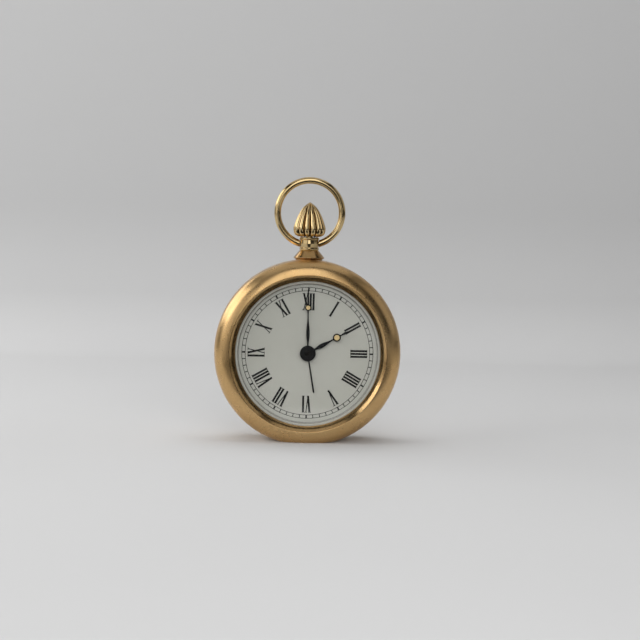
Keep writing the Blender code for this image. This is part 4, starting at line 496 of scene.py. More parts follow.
def carve(piece, *cutters):
    """Cut other meshes out of a piece."""
    for cutter in cutters:
        tool = add_object("cutter", mesh_of(cutter, "cutter"))
        tool.location = piece.location
        step = piece.modifiers.new("carve", "BOOLEAN")
        step.operation = "DIFFERENCE"
        step.solver = "EXACT"
        step.object = tool
        apply_modifiers(piece)
        bpy.data.objects.remove(tool)
    piece.data.set_sharp_from_angle(angle=math.radians(SMOOTH_ANGLE))


def soften_edges(piece, width, segments, angle=BEVEL_ANGLE):
    step = piece.modifiers.new("edges", "BEVEL")
    step.width = width
    step.segments = segments
    step.limit_method = "ANGLE"
    step.angle_limit = math.radians(angle)
    step.harden_normals = False
    apply_modifiers(piece)
    piece.data.set_sharp_from_angle(angle=math.radians(BEVELLED_SMOOTH_ANGLE))


class Look:
    """One material, with short calls for the nodes that colour it."""

    def __init__(self, name, roughness, metallic=0.0, colour=(0.5, 0.5, 0.5)):
        self.material = bpy.data.materials.new(name)
        self.material.use_nodes = True
        self.tree = self.material.node_tree
        self.shader = self.tree.nodes["Principled BSDF"]
        self.set("Roughness", roughness)
        self.set("Metallic", metallic)
        self.set("Base Color", (*colour, 1.0))
        self.place = self.node("TexCoord", {}).outputs["Object"]

    def set(self, socket, value):
        self.shader.inputs[socket].default_value = value

    def node(self, kind, inputs, **options):
        """A node with its options set, and its inputs fed with values or from other nodes."""
        made = self.tree.nodes.new(f"ShaderNode{kind}")
        for option, value in options.items():
            setattr(made, option, value)
        for key, source in inputs.items():
            if isinstance(source, bpy.types.NodeSocket):
                self.tree.links.new(source, made.inputs[key])
            else:
                made.inputs[key].default_value = source
        return made

    def noise(self, scale, detail=3.0, stretch=(1.0, 1.0, 1.0)):
        """Cloudy values from 0 to 1, in patches of about one over the scale in metres."""
        place = self.node("Mapping", {"Vector": self.place, "Scale": stretch}).outputs["Vector"]
        inputs = {"Vector": place, "Scale": scale, "Detail": detail}
        return self.node("TexNoise", inputs).outputs["Fac"]

    def reach(self, centre=(0.0, 0.0, 0.0)):
        """The distance from an axis along the clock's depth."""
        place = self.place
        for operation, other in (("SUBTRACT", centre), ("MULTIPLY", (1.0, 0.0, 1.0))):
            made = self.node("VectorMath", {0: place, 1: other}, operation=operation)
            place = made.outputs["Vector"]
        return self.node("VectorMath", {0: place}, operation="LENGTH").outputs["Value"]

    def rings(self, scale, centre=(0.0, 0.0, 0.0)):
        """Fine circular lines about an axis along the clock's depth."""
        inputs = {"W": self.reach(centre), "Scale": scale}
        return self.node("TexNoise", inputs, noise_dimensions="1D").outputs["Fac"]

    def parts(self):
        """The place's three coordinates."""
        return self.node("SeparateXYZ", {0: self.place}).outputs

    def ridges(self, count):
        """From 0 in the valleys to 1 on the lobes of a piece that is fluted about the vertical."""
        x, y, _ = self.parts()
        wave = self.maths("MULTIPLY", self.maths("ARCTAN2", x, y), count / 2)
        return self.maths("ABSOLUTE", self.maths("SINE", wave, 0.0), 0.0)

    def maths(self, operation, one, two):
        return self.node("Math", {0: one, 1: two}, operation=operation).outputs["Value"]

    def ramp(self, factor, dark, light, edges=TEXTURE_EDGES):
        """One colour below the first of two values, another above the second."""
        made = self.node("ValToRGB", {"Fac": factor})
        for element, place, colour in zip(made.color_ramp.elements, edges, (dark, light)):
            element.position = place
            element.color = (*colour, 1.0)
        return made.outputs["Color"]

    def spread(self, factor, out_low, out_high, in_low=TEXTURE_EDGES[0], in_high=TEXTURE_EDGES[1]):
        """One range of values mapped onto another, and held at its ends."""
        inputs = {"Value": factor, "From Min": in_low, "From Max": in_high,
                  "To Min": out_low, "To Max": out_high}
        return self.node("MapRange", inputs).outputs["Result"]

    def mix(self, factor, under, over):
        """A colour laid over another; 0, 6, 7 and 2 are the sockets that this node has for it."""
        inputs = {0: factor, 6: under, 7: (*over, 1.0)}
        return self.node("Mix", inputs, data_type="RGBA").outputs[2]

    def colour(self, source):
        self.tree.links.new(source, self.shader.inputs["Base Color"])

    def rough(self, source):
        self.tree.links.new(source, self.shader.inputs["Roughness"])

    def bump(self, height, distance):
        made = self.node("Bump", {"Height": height, "Distance": distance})
        self.tree.links.new(made.outputs["Normal"], self.shader.inputs["Normal"])

    def finished(self, cloud, dark, light, rough, fine=None, grain=0.0, edges=TEXTURE_EDGES,
                 stain=None, stain_amount=0.0):
        """The material: tones along one texture; stain, gloss and relief along a finer one."""
        fine = cloud if fine is None else fine
        tone = self.ramp(cloud, dark, light, edges)
        if stain:
            tone = self.mix(self.spread(fine, 0.0, stain_amount), tone, stain)
        self.colour(tone)
        self.rough(self.spread(fine, *rough))
        if grain:
            self.bump(fine, grain)
        return self.material


def brass(name, light, dark, speck, rough, wear, grain, speck_start, inner=1.0, darkening=None):
    """Worn brass: slow changes of tone, fine grain and small specks.

    inner is what the roughness is multiplied by inside the case's crest.
    """
    look = Look(name, rough[0], 1.0)
    fine = look.noise(*BRASS_GRAIN)
    tone = look.ramp(look.noise(*BRASS_CLOUD), dark, light, BRASS_CLOUD_EDGES)
    tone = look.mix(look.spread(fine, 0.0, wear), tone, BLACK)
    # darkening, when given, darkens the tone: painted shade in the finial's valleys, or a browner
    # tone below the pendant's neck
    if darkening:
        tone = darkening(look, tone)
    spots = look.spread(look.noise(*BRASS_SPECKS), 0.0, 1.0, speck_start, speck_start + SPECK_EDGE)
    look.colour(look.mix(spots, tone, speck))
    gloss = look.spread(look.noise(*BRASS_GLOSS), *rough)
    if inner < 1.0:
        polish = look.spread(look.reach(), inner, 1.0, *FLANK_POLISH_EDGE)
        gloss = look.maths("MULTIPLY", gloss, polish)
    look.rough(gloss)
    look.bump(fine, grain)
    return look.material


def satin_case():
    return brass("case_brass", light=(0.72, 0.48, 0.228), dark=(0.62, 0.393, 0.168),
                 speck=(0.30, 0.14, 0.06), rough=(0.25, 0.33), wear=0.08, grain=0.0008 * MM,
                 speck_start=0.73, inner=FLANK_POLISH)


def polished_brass(name, darkening=None):
    return brass(name, light=(0.70, 0.53, 0.28), dark=(0.60, 0.43, 0.20),
                 speck=(0.26, 0.13, 0.05), rough=(0.12, 0.19), wear=0.03, grain=0.0002 * MM,
                 speck_start=0.76, darkening=darkening)


def valley_shade(look, tone):
    """Painted shade: dark brown laid into the valleys between the finial's lobes."""
    amount = look.spread(look.ridges(FINIAL_LOBES), 0.0, VALLEY_SHADE_AMOUNT, *VALLEY_EDGES)
    return look.mix(amount, tone, VALLEY_SHADE)


def brown_below_neck(look, tone):
    """Orange brown on the neck's cone and lip."""
    height = look.parts()[2]
    amount = look.spread(height, 0.0, CONE_BROWN_AMOUNT, NECK_LOW, NECK_LOW - NECK_BEAD)
    return look.mix(amount, tone, CONE_BROWN)


def cover_brass():
    """The back cover, with the fine circles that turning leaves."""
    look = Look("cover_brass", 0.3, 1.0)
    return look.finished(look.noise(60.0, 4.0), (0.64, 0.44, 0.21), (0.76, 0.55, 0.28),
                         rough=(0.24, 0.38), fine=look.rings(5200.0), grain=0.006 * MM,
                         stain=(0.20, 0.11, 0.04), stain_amount=0.14)


def movement_brass():
    look = Look("movement_brass", 0.35, 1.0)
    return look.finished(look.noise(90.0), (0.66, 0.50, 0.24), (0.78, 0.62, 0.32),
                         rough=(0.28, 0.42), fine=look.rings(3600.0, DIAL_CENTRE),
                         grain=0.004 * MM, stain=(0.28, 0.18, 0.07), stain_amount=0.12)


def steel():
    look = Look("steel", 0.28, 1.0)
    scratches = look.noise(900.0, 3.0, (1.0, 0.08, 1.0))
    return look.finished(look.noise(300.0), (0.46, 0.46, 0.47), (0.60, 0.60, 0.60),
                         rough=(0.20, 0.38), fine=scratches, grain=0.003 * MM)


def blued_steel():
    look = Look("blued_steel", 0.3, 1.0)
    return look.finished(look.noise(260.0), (0.05, 0.07, 0.17), (0.12, 0.13, 0.26),
                         rough=(0.22, 0.36))


def rehaut_paint():
    """The pale ring round the dial, with faint turned lines."""
    look = Look("rehaut_paint", 0.35)
    return look.finished(look.rings(7000.0), (0.30, 0.295, 0.27), (0.37, 0.365, 0.335),
                         rough=(0.28, 0.42))


def dial_paint():
    """Off-white satin paint with the slight unevenness and dust of age."""
    look = Look("dial_paint", 0.45)
    cloud = look.noise(38.0, 3.0)
    dust = look.noise(2600.0, 2.0)
    tone = look.ramp(cloud, (0.44, 0.435, 0.39), (0.47, 0.464, 0.42), (0.25, 0.75))
    look.colour(look.mix(look.spread(dust, 0.0, 1.0, *DUST_EDGES), tone, (0.33, 0.32, 0.28)))
    look.rough(look.spread(cloud, 0.40, 0.52))
    look.bump(dust, 0.002 * MM)
    return look.material


def ink():
    look = Look("dial_ink", 0.5)
    look.set("Specular IOR Level", 0.15)
    return look.finished(look.noise(1800.0, 2.0), (0.005, 0.005, 0.006), (0.016, 0.016, 0.015),
                         rough=(0.42, 0.6), edges=(0.35, 0.8))


def hand_lacquer():
    look = Look("hand_lacquer", 0.3)
    look.set("Specular IOR Level", 0.2)
    return look.finished(look.noise(700.0, 3.0), (0.004, 0.004, 0.005), (0.012, 0.012, 0.011),
                         rough=(0.36, 0.50), grain=0.001 * MM, edges=(0.35, 0.8))


def nut_metal():
    look = Look("nut_metal", 0.35, 1.0)
    return look.finished(look.noise(900.0, 3.0), (0.018, 0.017, 0.016), (0.045, 0.043, 0.040),
                         rough=(0.28, 0.42), edges=(0.35, 0.75))


def luminous_paint():
    look = Look("luminous_paint", 0.75)
    return look.finished(look.noise(3800.0, 3.0), (0.56, 0.40, 0.17), (0.74, 0.57, 0.31),
                         rough=(0.65, 0.85), grain=0.02 * MM)


def glass():
    """Clear pressed glass, with a breath of haze from years of wiping."""
    look = Look("crystal_glass", 0.02, 0.0, (0.97, 0.98, 0.975))
    look.set("Transmission Weight", 1.0)
    look.set("IOR", 1.42)
    look.rough(look.spread(look.noise(120.0, 4.0), 0.04, 0.08))
    return look.material


def stage_cloth():
    """Plain pale cloth, a little darker where it runs up the wall: painted shade."""
    look = Look("stage_cloth", 0.9)
    floor = look.ramp(look.noise(3.0, 2.0), FLOOR_DARK, FLOOR_COLOUR)
    # Painted shade from just above the floor upward, where the cloth runs up the wall
    wall = look.spread(look.parts()[2], 0.0, 1.0, 0.0, WALL_SHADE_BLEND)
    look.colour(look.mix(wall, floor, WALL_SHADE_COLOUR))
    return look.material


LOOKS = {
    "case": satin_case(),
    "polished": polished_brass("polished_brass"),
    "finial": polished_brass("finial_brass", valley_shade),
    "neck": polished_brass("neck_brass", brown_below_neck),
    "cover": cover_brass(),
    "movement": movement_brass(),
    "steel": steel(),
    "blued": blued_steel(),
    "rehaut": rehaut_paint(),
    "dial": dial_paint(),
    "ink": ink(),
    "hands": hand_lacquer(),
    "nut": nut_metal(),
    "lume": luminous_paint(),
    "glass": glass(),
    "stage": stage_cloth(),
}


def make_case():
    """Ring with a full round front, cut flat at its foot and spot-faced for the pendant."""
    lip_front = CASE_FRONT + RIM_ROLL
    lip_back = lip_front + LIP_THICKNESS
    seat_front = CASE_BACK - COVER_SEAT_DEPTH
    profile = section_round((FRONT_ROUND_CENTRE, CASE_FRONT + FRONT_ROUND),
                            (FRONT_ROUND, FRONT_ROUND), FRONT_ROUND_START, 90.0)
    profile += section_round((RIM_RADIUS, SIDE_BACK),
                             (CASE_RADIUS - RIM_RADIUS, CASE_BACK - SIDE_BACK), 90.0, 180.0)
    inside = [
        profile[-1], (COVER_SEAT_RADIUS, CASE_BACK), (COVER_SEAT_RADIUS, seat_front),
        (BORE_RADIUS, seat_front), (BORE_RADIUS, lip_back), (OPENING_RADIUS, lip_back),
        (OPENING_RADIUS, lip_front), (FLANK_FOOT, lip_front),
    ]
    crest_turn = math.radians(FRONT_ROUND_START / 2)
    crest = (FRONT_ROUND_CENTRE + FRONT_ROUND * math.sin(crest_turn), CASE_FRONT)
    profile += softened(inside, EDGE_SOFTNESS, False)[1:]
    slope = [inside[-1], crest, profile[0]]
    profile += softened(slope, CREST_SOFTNESS, False, CREST_STEPS)[1:-1]
    piece = to_object(lathe(profile, FINE_STEPS), "case_shell", "case", "case")
    foot_level = -CENTRE_HEIGHT - CUT_REACH / 2
    foot = block((4 * CASE_RADIUS, 4 * CASE_BACK, CUT_REACH), (0.0, 0.0, foot_level))
    spot_level = CASE_RADIUS - SPOT_DROP
    spot = rod(SPOT_RADIUS, spot_level, spot_level + CUT_REACH, "Z", ROUND_STEPS)
    carve(piece, foot, spot)
    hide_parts("case_body")


def make_crystal():
    """Low dome with a bevelled shoulder and a thin rim behind the case's lip."""
    shoulder = CASE_FRONT + RIM_ROLL
    top = shoulder - CRYSTAL_STAND
    seat = CRYSTAL_BACK - CRYSTAL_RIM
    bevel_radius = CRYSTAL_RADIUS - CRYSTAL_BEVEL
    inner = CRYSTAL_RADIUS - CRYSTAL_WALL
    outside = []
    inside = []
    for i in range(ROLL_STEPS + 1):
        share = i / ROLL_STEPS
        sag = CRYSTAL_DOME * share * share
        outside.append((bevel_radius * share, top - CRYSTAL_DOME + sag))
        inside.append((inner * share, top - CRYSTAL_DOME + CRYSTAL_WALL + sag))
    rim = [
        outside[-1], (CRYSTAL_RADIUS, shoulder), (CRYSTAL_RADIUS, seat),
        (CRYSTAL_RIM_RADIUS, seat), (CRYSTAL_RIM_RADIUS, CRYSTAL_BACK),
        (inner, CRYSTAL_BACK), inside[-1],
    ]
    profile = outside[:-1] + softened(rim, EDGE_SOFTNESS, False) + inside[-2::-1]
    piece = to_object(lathe(profile, FINE_STEPS, False), "crystal_glass", "case", "glass")
    piece.visible_shadow = False
    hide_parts("crystal")


def make_rehaut():
    profile = [
        (REHAUT_INNER, REHAUT_BACK), (CRYSTAL_RIM_RADIUS, REHAUT_BACK),
        (CRYSTAL_RIM_RADIUS, REHAUT_FRONT), (REHAUT_INNER + REHAUT_SLOPE, REHAUT_FRONT),
        (REHAUT_INNER, REHAUT_BACK - REHAUT_STEP),
    ]
    bm = lathe(softened(profile, EDGE_SOFTNESS / 2), FINE_STEPS)
    piece = to_object(bm, "rehaut", "case", "rehaut")
    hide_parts("crystal_ring")


def make_dial():
    back = DIAL_FRONT + DIAL_THICKNESS
    profile = [
        (DIAL_HOLE, DIAL_FRONT), (DIAL_RADIUS, DIAL_FRONT), (DIAL_RADIUS, back), (DIAL_HOLE, back),
    ]
    bm = lathe(softened(profile, EDGE_SOFTNESS / 3), FINE_STEPS)
    piece = to_object(bm, "dial_plate", "case", "dial")
    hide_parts("dial")


def add_stroke(bm, corners, degrees):
    """A printed stroke with four corners, drawn at 12 o'clock and turned round the dial."""
    sine, cosine = polar(1.0, degrees)
    placed = [(x * cosine + z * sine, z * cosine - x * sine) for x, z in corners]
    front = [bm.verts.new((x, DIAL_FRONT - INK_HEIGHT, z)) for x, z in placed]
    back = [bm.verts.new((x, DIAL_FRONT, z)) for x, z in placed]
    bm.faces.new(front)
    bm.faces.new(back[::-1])
    for i in range(4):
        j = (i + 1) % 4
        bm.faces.new((front[i], back[i], back[j], front[j]))


def add_ring_line(bm, radius, width):
    """A thin printed circle."""
    inner, outer = radius - width / 2, radius + width / 2
    front = DIAL_FRONT - INK_HEIGHT
    section = ((inner, DIAL_FRONT), (outer, DIAL_FRONT), (outer, front), (inner, front))
    rings = []
    for reach, depth in section:
        rings.append([bm.verts.new((x, depth, z)) for x, z in circle(reach, FINE_STEPS)])
    skin(bm, rings, True)


def slanted(foot_x, head_x, width, inner=NUMERAL_INNER, outer=NUMERAL_OUTER):
    """The corners of a stroke between two ends, with level ends."""
    half = width / 2
    foot = [(foot_x - half, inner), (foot_x + half, inner)]
    return foot + [(head_x + half, outer), (head_x - half, outer)]


def numeral_strokes(text):
    """The strokes of a Roman numeral about its middle, with the serif line of each end."""
    strokes = []
    head_serifs = []
    foot_serifs = []
    x = 0.0
    for letter in text:
        end = x + LETTER_SPREADS[letter]
        if letter == "I":
            strokes.append((x, x, THICK_STROKE))
            heads, feet = (x,), (x,)
        elif letter == "V":
            point = (x + end) / 2
            strokes += [(point, x, THICK_STROKE), (point, end, THIN_STROKE)]
            heads, feet = (x, end), ()
        else:
            strokes += [(end, x, THICK_STROKE), (x, end, THIN_STROKE)]
            heads, feet = (x, end), (x, end)
        head_serifs += heads
        foot_serifs += feet
        x = end + BAR_PITCH
    middle = (x - BAR_PITCH) / 2
    serif = THICK_STROKE + 2 * SERIF_REACH
    lines = [slanted(foot - middle, head - middle, width) for foot, head, width in strokes]
    levels = ((head_serifs, NUMERAL_OUTER - SERIF_STROKE, NUMERAL_OUTER),
              (foot_serifs, NUMERAL_INNER, NUMERAL_INNER + SERIF_STROKE))
    for places, inner, outer in levels:
        for place in places:
            lines.append(slanted(place - middle, place - middle, serif, inner, outer))
    return lines


def make_print():
    """Minute track and Roman numerals with their heads outward."""
    bm = bmesh.new()
    inner, outer = TRACK_RADII
    for radius in TRACK_RADII:
        add_ring_line(bm, radius, TRACK_LINE)
    for minute in range(MINUTES):
        on_hour = minute % MINUTES_TO_A_NUMERAL == 0
        width = HOUR_LINE if on_hour else MINUTE_LINE
        reach = HOUR_LINE_REACH if on_hour else 0.0
        line = slanted(0.0, 0.0, width, inner - reach, outer + reach)
        add_stroke(bm, line, 360.0 * minute / MINUTES)
    for hour, text in enumerate(NUMERALS):
        for corners in numeral_strokes(text):
            add_stroke(bm, corners, 360.0 * hour / len(NUMERALS))
    piece = to_object(bm, "dial_print", "case", "ink")


def smooth_width(knots, along):
    """The half-width of a hand at a distance from its axis, easing between its knots."""
    for (start, one), (end, two) in zip(knots, knots[1:]):
        if along <= end:
            ease = (1 - math.cos(math.pi * (along - start) / (end - start))) / 2
            return one + (two - one) * ease
    return knots[-1][1]


def hand_outline(hub, knots, dot, ring, length):
    """A hand along 12 o'clock: hub disc, eased blade, ring for the luminous dot, fine tip."""
    stations = [hub + (length - hub) * i / HAND_STEPS for i in range(1, HAND_STEPS)]
    blade = [(smooth_width(knots, station), station) for station in stations]
    start = math.degrees(math.asin(knots[0][1] / hub))
    right = [polar(hub, start)]
    if ring:
        reach = RING_REACH_SHARE * ring
        first, last = RING_TURNS
        right += [(half, along) for half, along in blade if along < dot - reach]
        for i in range(RING_STEPS + 1):
            x, z = polar(ring, first + (last - first) * i / RING_STEPS)
            right.append((x, dot + z))
        right += [(half, along) for half, along in blade if along > dot + reach]
    else:
        right += blade
    left = [(-x, z) for x, z in reversed(right)]
    sweep = 360.0 - 2 * start
    disc = [polar(hub, 360.0 - start - sweep * i / SMALL_STEPS) for i in range(1, SMALL_STEPS)]
    return right + [(0.0, length)] + left + disc


def make_hand(name, node, body, angle, hub, pipe, length, root, knots,
              lume_node=None, dot=0.0, ring=0.0, lume=0.0):
    front, back = low(node).y, high(node).y
    knots = [(hub, root)] + [(share * length, half) for share, half in knots]
    outlines = [hand_outline(hub, knots, dot, ring, length), circle(pipe, SMALL_STEPS)]
    if lume:
        outlines.append(circle(lume, SMALL_STEPS, (0.0, dot)))
    piece = to_object(turn(prism(outlines, front, back), angle), name, body, "hands")
    soften_edges(piece, HAND_EDGE, HAND_BEVELS)
    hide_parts(node)
    if lume:
        profile = [
            (0.0, front - LUME_CROWN / 2), (lume / 2, front - LUME_CROWN / 3),
            (lume, front + HAND_EDGE), (lume, back), (0.0, back),
        ]
        bm = shift(lathe(profile, SMALL_STEPS, False), (0.0, 0.0, dot))
        dot_piece = to_object(turn(bm, angle), f"{name}_dot", body, "lume")
        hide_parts(lume_node)


def make_hand_nut():
    front, back = low("hand_nut").y, high("hand_nut").y
    hole = ARBOR_RADIUS + EDGE_SOFTNESS / 3
    profile = [
        (hole, back), (NUT_RADIUS, back), (NUT_RADIUS, (front + back) / 2),
        (NUT_RADIUS - (back - front) / 2, front), (hole, front),
    ]
    bm = lathe(softened(profile, EDGE_SOFTNESS / 2), SMALL_STEPS)
    piece = to_object(bm, "hand_nut_cap", "minute_works", "nut")
    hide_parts("hand_nut")


def make_pendant():
    """Collar with an undercut lip, cone and beaded neck, drilled for the stud and the bow."""
    top = PENDANT_TOP - CENTRE_HEIGHT
    bead = NECK_RADIUS + NECK_BEAD
    half_bead = NECK_BEAD / 2
    stud_end = low("pendant").z - CENTRE_HEIGHT
    lip_low, lip_middle, lip_high = [PENDANT_LOW + level for level in FLARE_LEVELS]
    profile = [
        (0.0, stud_end), (STUD_RADIUS, stud_end), (STUD_RADIUS, PENDANT_LOW),
        (PENDANT_SEAT, PENDANT_LOW), (PENDANT_SEAT, lip_low), (PENDANT_FLARE, lip_middle),
        (PENDANT_FLARE, lip_high), (NECK_RADIUS + CONE_SPREAD, NECK_LOW - half_bead),
        (NECK_RADIUS, NECK_LOW), (bead, NECK_LOW + half_bead), (bead, NECK_LOW + BEAD_HEIGHT),
        (NECK_RADIUS, NECK_LOW + BEAD_HEIGHT + half_bead),
        (NECK_RADIUS + half_bead, (NECK_LOW + top) / 2),
        (NECK_RADIUS, top - BEAD_HEIGHT - half_bead), (bead, top - BEAD_HEIGHT),
        (bead, top - half_bead), (NECK_RADIUS, top), (0.0, top),
    ]
    bm = lathe(softened(profile, EDGE_SOFTNESS, False), ROUND_STEPS, False, "Z")
    piece = to_object(bm, "pendant_neck", "case", "neck")
    socket_low = top - FINIAL_STUD_LENGTH - SEAT_GAP
    cutters = [rod(FINIAL_STUD + SEAT_GAP / 2, socket_low, top + SEAT_GAP, "Z")]
    near = NECK_RADIUS - BOW_PIN_REACH - SEAT_GAP
    for degrees in PIN_TURNS:
        hole = rod(BOW_PIN + SEAT_GAP / 2, near, bead + SEAT_GAP, "Z")
        cutters.append(turn(hole, degrees, offset=(0.0, 0.0, BOW_PIVOT - CENTRE_HEIGHT)))
    carve(piece, *cutters)
    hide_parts("pendant")


def make_finial():
    """Fluted bud: rounded lobes with sharp valleys, rounded toes below and a plain tip."""
    count = FINIAL_LOBES * LOBE_STEPS
    base = FINIAL_TOP - CENTRE_HEIGHT - FINIAL_HEIGHT
    bm = bmesh.new()
    rings = []
    for height_share, radius_share in FINIAL_SHARES:
        fade = min(1.0, LOBE_FADE * (1.0 - height_share))
        fade *= min(1.0, FOOT_LOBES + LOBE_FADE * height_share)
        toe = TOE_LIFT_SHARE * max(0.0, 1.0 - TOE_FADE * height_share)
        ring = []
        for i in range(count):
            valley = 1.0 - abs(math.sin(math.pi * i / LOBE_STEPS)) ** LOBE_ROUNDNESS
            radius = FINIAL_RADIUS * radius_share * (1.0 - LOBE_DEPTH_SHARE * fade * valley)
            level = base + (height_share + toe * valley) * FINIAL_HEIGHT
            ring.append(bm.verts.new((*polar(radius, 360.0 * i / count), level)))
        rings.append(ring)
    tip = bm.verts.new((0.0, 0.0, base + FINIAL_HEIGHT))
    skin(bm, rings + [[tip] * count])
    stud = [rings[0]]
    for level in (base + TOE_LIFT_SHARE * FINIAL_HEIGHT / 2, base - FINIAL_STUD_LENGTH):
        stud.append([bm.verts.new((*point, level)) for point in circle(FINIAL_STUD, count)])
    skin(bm, stud)
    bm.faces.new(stud[-1])
    piece = to_object(bm, "finial_bud", "case", "finial", smooth=ROUND_ANGLE)
    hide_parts("finial")


def make_bow():
    """Round wire bent in a ring, with ends that turn in as pins."""
    wire_end = NECK_RADIUS + SEAT_GAP / 2
    half = math.asin(wire_end / BOW_RADIUS)
    bm = bmesh.new()
    rings = []
    for i in range(BOW_STEPS + 1):
        angle = half + (2 * math.pi - 2 * half) * i / BOW_STEPS
        outward = Vector((math.sin(angle), 0.0, -math.cos(angle)))
        along = Vector((-outward.z, 0.0, outward.x))
        ring = []
        for aside, out in circle(1.0, SMALL_STEPS):
            offset = outward * out + Vector((0.0, aside, 0.0))
            if i in (0, BOW_STEPS):
                offset -= along * offset.x / along.x
            ring.append(bm.verts.new(BOW_RADIUS * outward + BOW_WIRE * offset))
        rings.append(ring)
    skin(bm, rings)
    bm.faces.new(rings[0])
    bm.faces.new(rings[-1][::-1])
    for degrees in PIN_TURNS:
        pin = rod(BOW_PIN, NECK_RADIUS - BOW_PIN_REACH, wire_end + BOW_WIRE / 2, "Z")
        turn(pin, degrees, offset=(0.0, 0.0, BOW_PIVOT - BOW_CENTRE))
        bm.from_mesh(mesh_of(pin, "pin"))
    at = (0.0, 0.0, BOW_CENTRE)
    piece = to_object(bm, "bow_ring", "bow", "polished", at, ROUND_ANGLE)
    soften_edges(piece, EDGE_SOFTNESS, ROUND_BEVELS, ROUND_ANGLE)
    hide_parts("bow")


def make_cover():
    """Back cover: raised panel, holes for arbors and screws, the regulator's curved slot."""
    edge_back = COVER_FRONT + COVER_THICKNESS
    half = COVER_THICKNESS / 2
    profile = [
        (0.0, COVER_FRONT), (COVER_RADIUS, COVER_FRONT), (COVER_RADIUS, edge_back),
        (PANEL_RADIUS + half, edge_back), (PANEL_RADIUS - half, PANEL_BACK), (0.0, PANEL_BACK),
    ]
    bm = lathe(softened(profile, EDGE_SOFTNESS, False), FINE_STEPS, False)
    piece = to_object(bm, "cover_plate", "case", "cover")
    front, back = COVER_FRONT - COVER_THICKNESS, PANEL_BACK + COVER_THICKNESS
    cutters = []
    for radius, nodes in COVER_HOLES:
        for node in nodes:
            cutters.append(shift(rod(radius, front, back), place_of(node) - DIAL_CENTRE))
    x, _, z = place_of("balance_wheel") - DIAL_CENTRE
    reach = REGULATOR_SWING + math.degrees(REGULATOR_SLOT_HALF / REGULATOR_REACH)
    arc = [REGULATOR_MIDDLE - reach + 2 * reach * i / ROLL_STEPS for i in range(ROLL_STEPS + 1)]
    outline = [polar(REGULATOR_REACH + REGULATOR_SLOT_HALF, angle) for angle in arc]
    outline += [polar(REGULATOR_REACH - REGULATOR_SLOT_HALF, angle) for angle in reversed(arc)]
    outline = softened([(x + dx, z + dz) for dx, dz in outline], REGULATOR_SLOT_HALF / 2)
    carve(piece, *cutters, prism([outline], front, back))
    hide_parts("back_cover")


def make_cover_screws():
    """Slotted screws with softly crowned heads."""
    for i, degrees in enumerate(SCREW_TURNS, 1):
        node = f"cover_screw_{i}"
        head = (high(node).x - low(node).x) / 2
        end, top = low(node).y, high(node).y
        under = top - SCREW_HEAD_HEIGHT
        profile = [
            (0.0, end), (SCREW_SHANK, end), (SCREW_SHANK, under), (head, under),
            (head, under + SCREW_HEAD_HEIGHT / 2), (head - EDGE_SOFTNESS, top - EDGE_SOFTNESS),
            (0.0, top),
        ]
        bm = lathe(softened(profile, EDGE_SOFTNESS / 2, False), SMALL_STEPS, False)
        piece = to_object(bm, f"{node}_head", "case", "steel", place_of(node))
        groove = block((4 * head, 2 * SCREW_SLOT, SCREW_SLOT), (0.0, top, 0.0))
        carve(piece, turn(groove, degrees))
        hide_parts(node)


def make_winding_key(node, body):
    """A winding key: collared stem and a flat rounded wing."""
    base = low(node).y
    end = base + KEY_STEM_LENGTH
    waist = KEY_STEM - EDGE_SOFTNESS
    low_collar, high_collar = base + KEY_COLLAR, end - KEY_COLLAR
    stem = [
        (0.0, base), (KEY_STEM, base), (KEY_STEM, low_collar), (waist, low_collar),
        (waist, high_collar), (KEY_STEM, high_collar), (KEY_STEM, end), (0.0, end),
    ]
    bm = lathe(softened(stem, EDGE_SOFTNESS / 2, False), SMALL_STEPS, False)
    piece = to_object(bm, f"{node}_stem", body, "polished", place_of(node))
    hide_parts(node)
    width, thickness, height = KEY_WING_SIZE
    outline = []
    for i in range(ROUND_STEPS):
        angle = 2 * math.pi * (i + 0.5) / ROUND_STEPS
        side, rise = [math.copysign(abs(part) ** KEY_WING_POWER, part)
                      for part in (math.cos(angle), math.sin(angle))]
        outline.append((width / 2 * side, height / 2 * rise))
    wing = prism([outline], -thickness / 2, thickness / 2)
    turn(wing, 90.0, "X", (0.0, end - KEY_WING_SINK + height / 2, 0.0))
    piece = to_object(wing, f"{node}_wing", body, "polished", place_of(node))
    soften_edges(piece, 2 * EDGE_SOFTNESS, WING_BEVELS)


def make_knob(node, body):
    """A fluted knob with a turned step on its face."""
    radius = (high(node).x - low(node).x) / 2
    base, end = low(node).y, high(node).y
    count = KNOB_FLUTES * FLUTE_STEPS
    outline = []
    for i in range(count):
        share = abs(math.sin(math.pi * i / FLUTE_STEPS)) ** KNOB_FLUTE_POWER
        outline.append(polar(radius - KNOB_FLUTE_DEPTH * share, 360.0 * i / count))
    grip = prism([outline], base, end - KNOB_STEP)
    piece = to_object(grip, f"{node}_grip", body, "polished", place_of(node))
    soften_edges(piece, EDGE_SOFTNESS, ROUND_BEVELS, ROUND_ANGLE)
    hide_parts(node)
    inner, start = radius - 2 * KNOB_STEP, base + KNOB_STEP
    face = [(0.0, start), (inner, start), (inner, end - EDGE_SOFTNESS), (0.0, end)]
    bm = lathe(softened(face, 2 * EDGE_SOFTNESS, False), SMALL_STEPS, False)
    piece = to_object(bm, f"{node}_face", body, "polished", place_of(node))


def make_stop_button():
    """The alarm's stop button: slim stem and crowned cap."""
    start, end = low("stop_button").y, high("stop_button").y
    under = end - STOP_CAP_HEIGHT
    profile = [
        (0.0, start), (STOP_STEM, start), (STOP_STEM, under), (STOP_CAP, under),
        (STOP_CAP, under + STOP_SIDE_SHARE * STOP_CAP_HEIGHT), (STOP_FACE_SHARE * STOP_CAP, end),
        (0.0, end),
    ]
    bm = lathe(softened(profile, 2 * EDGE_SOFTNESS, False), SMALL_STEPS, False)
    at = place_of("stop_button")
    piece = to_object(bm, "stop_button_cap", "stop_button", "polished", at)
    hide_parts("stop_button")


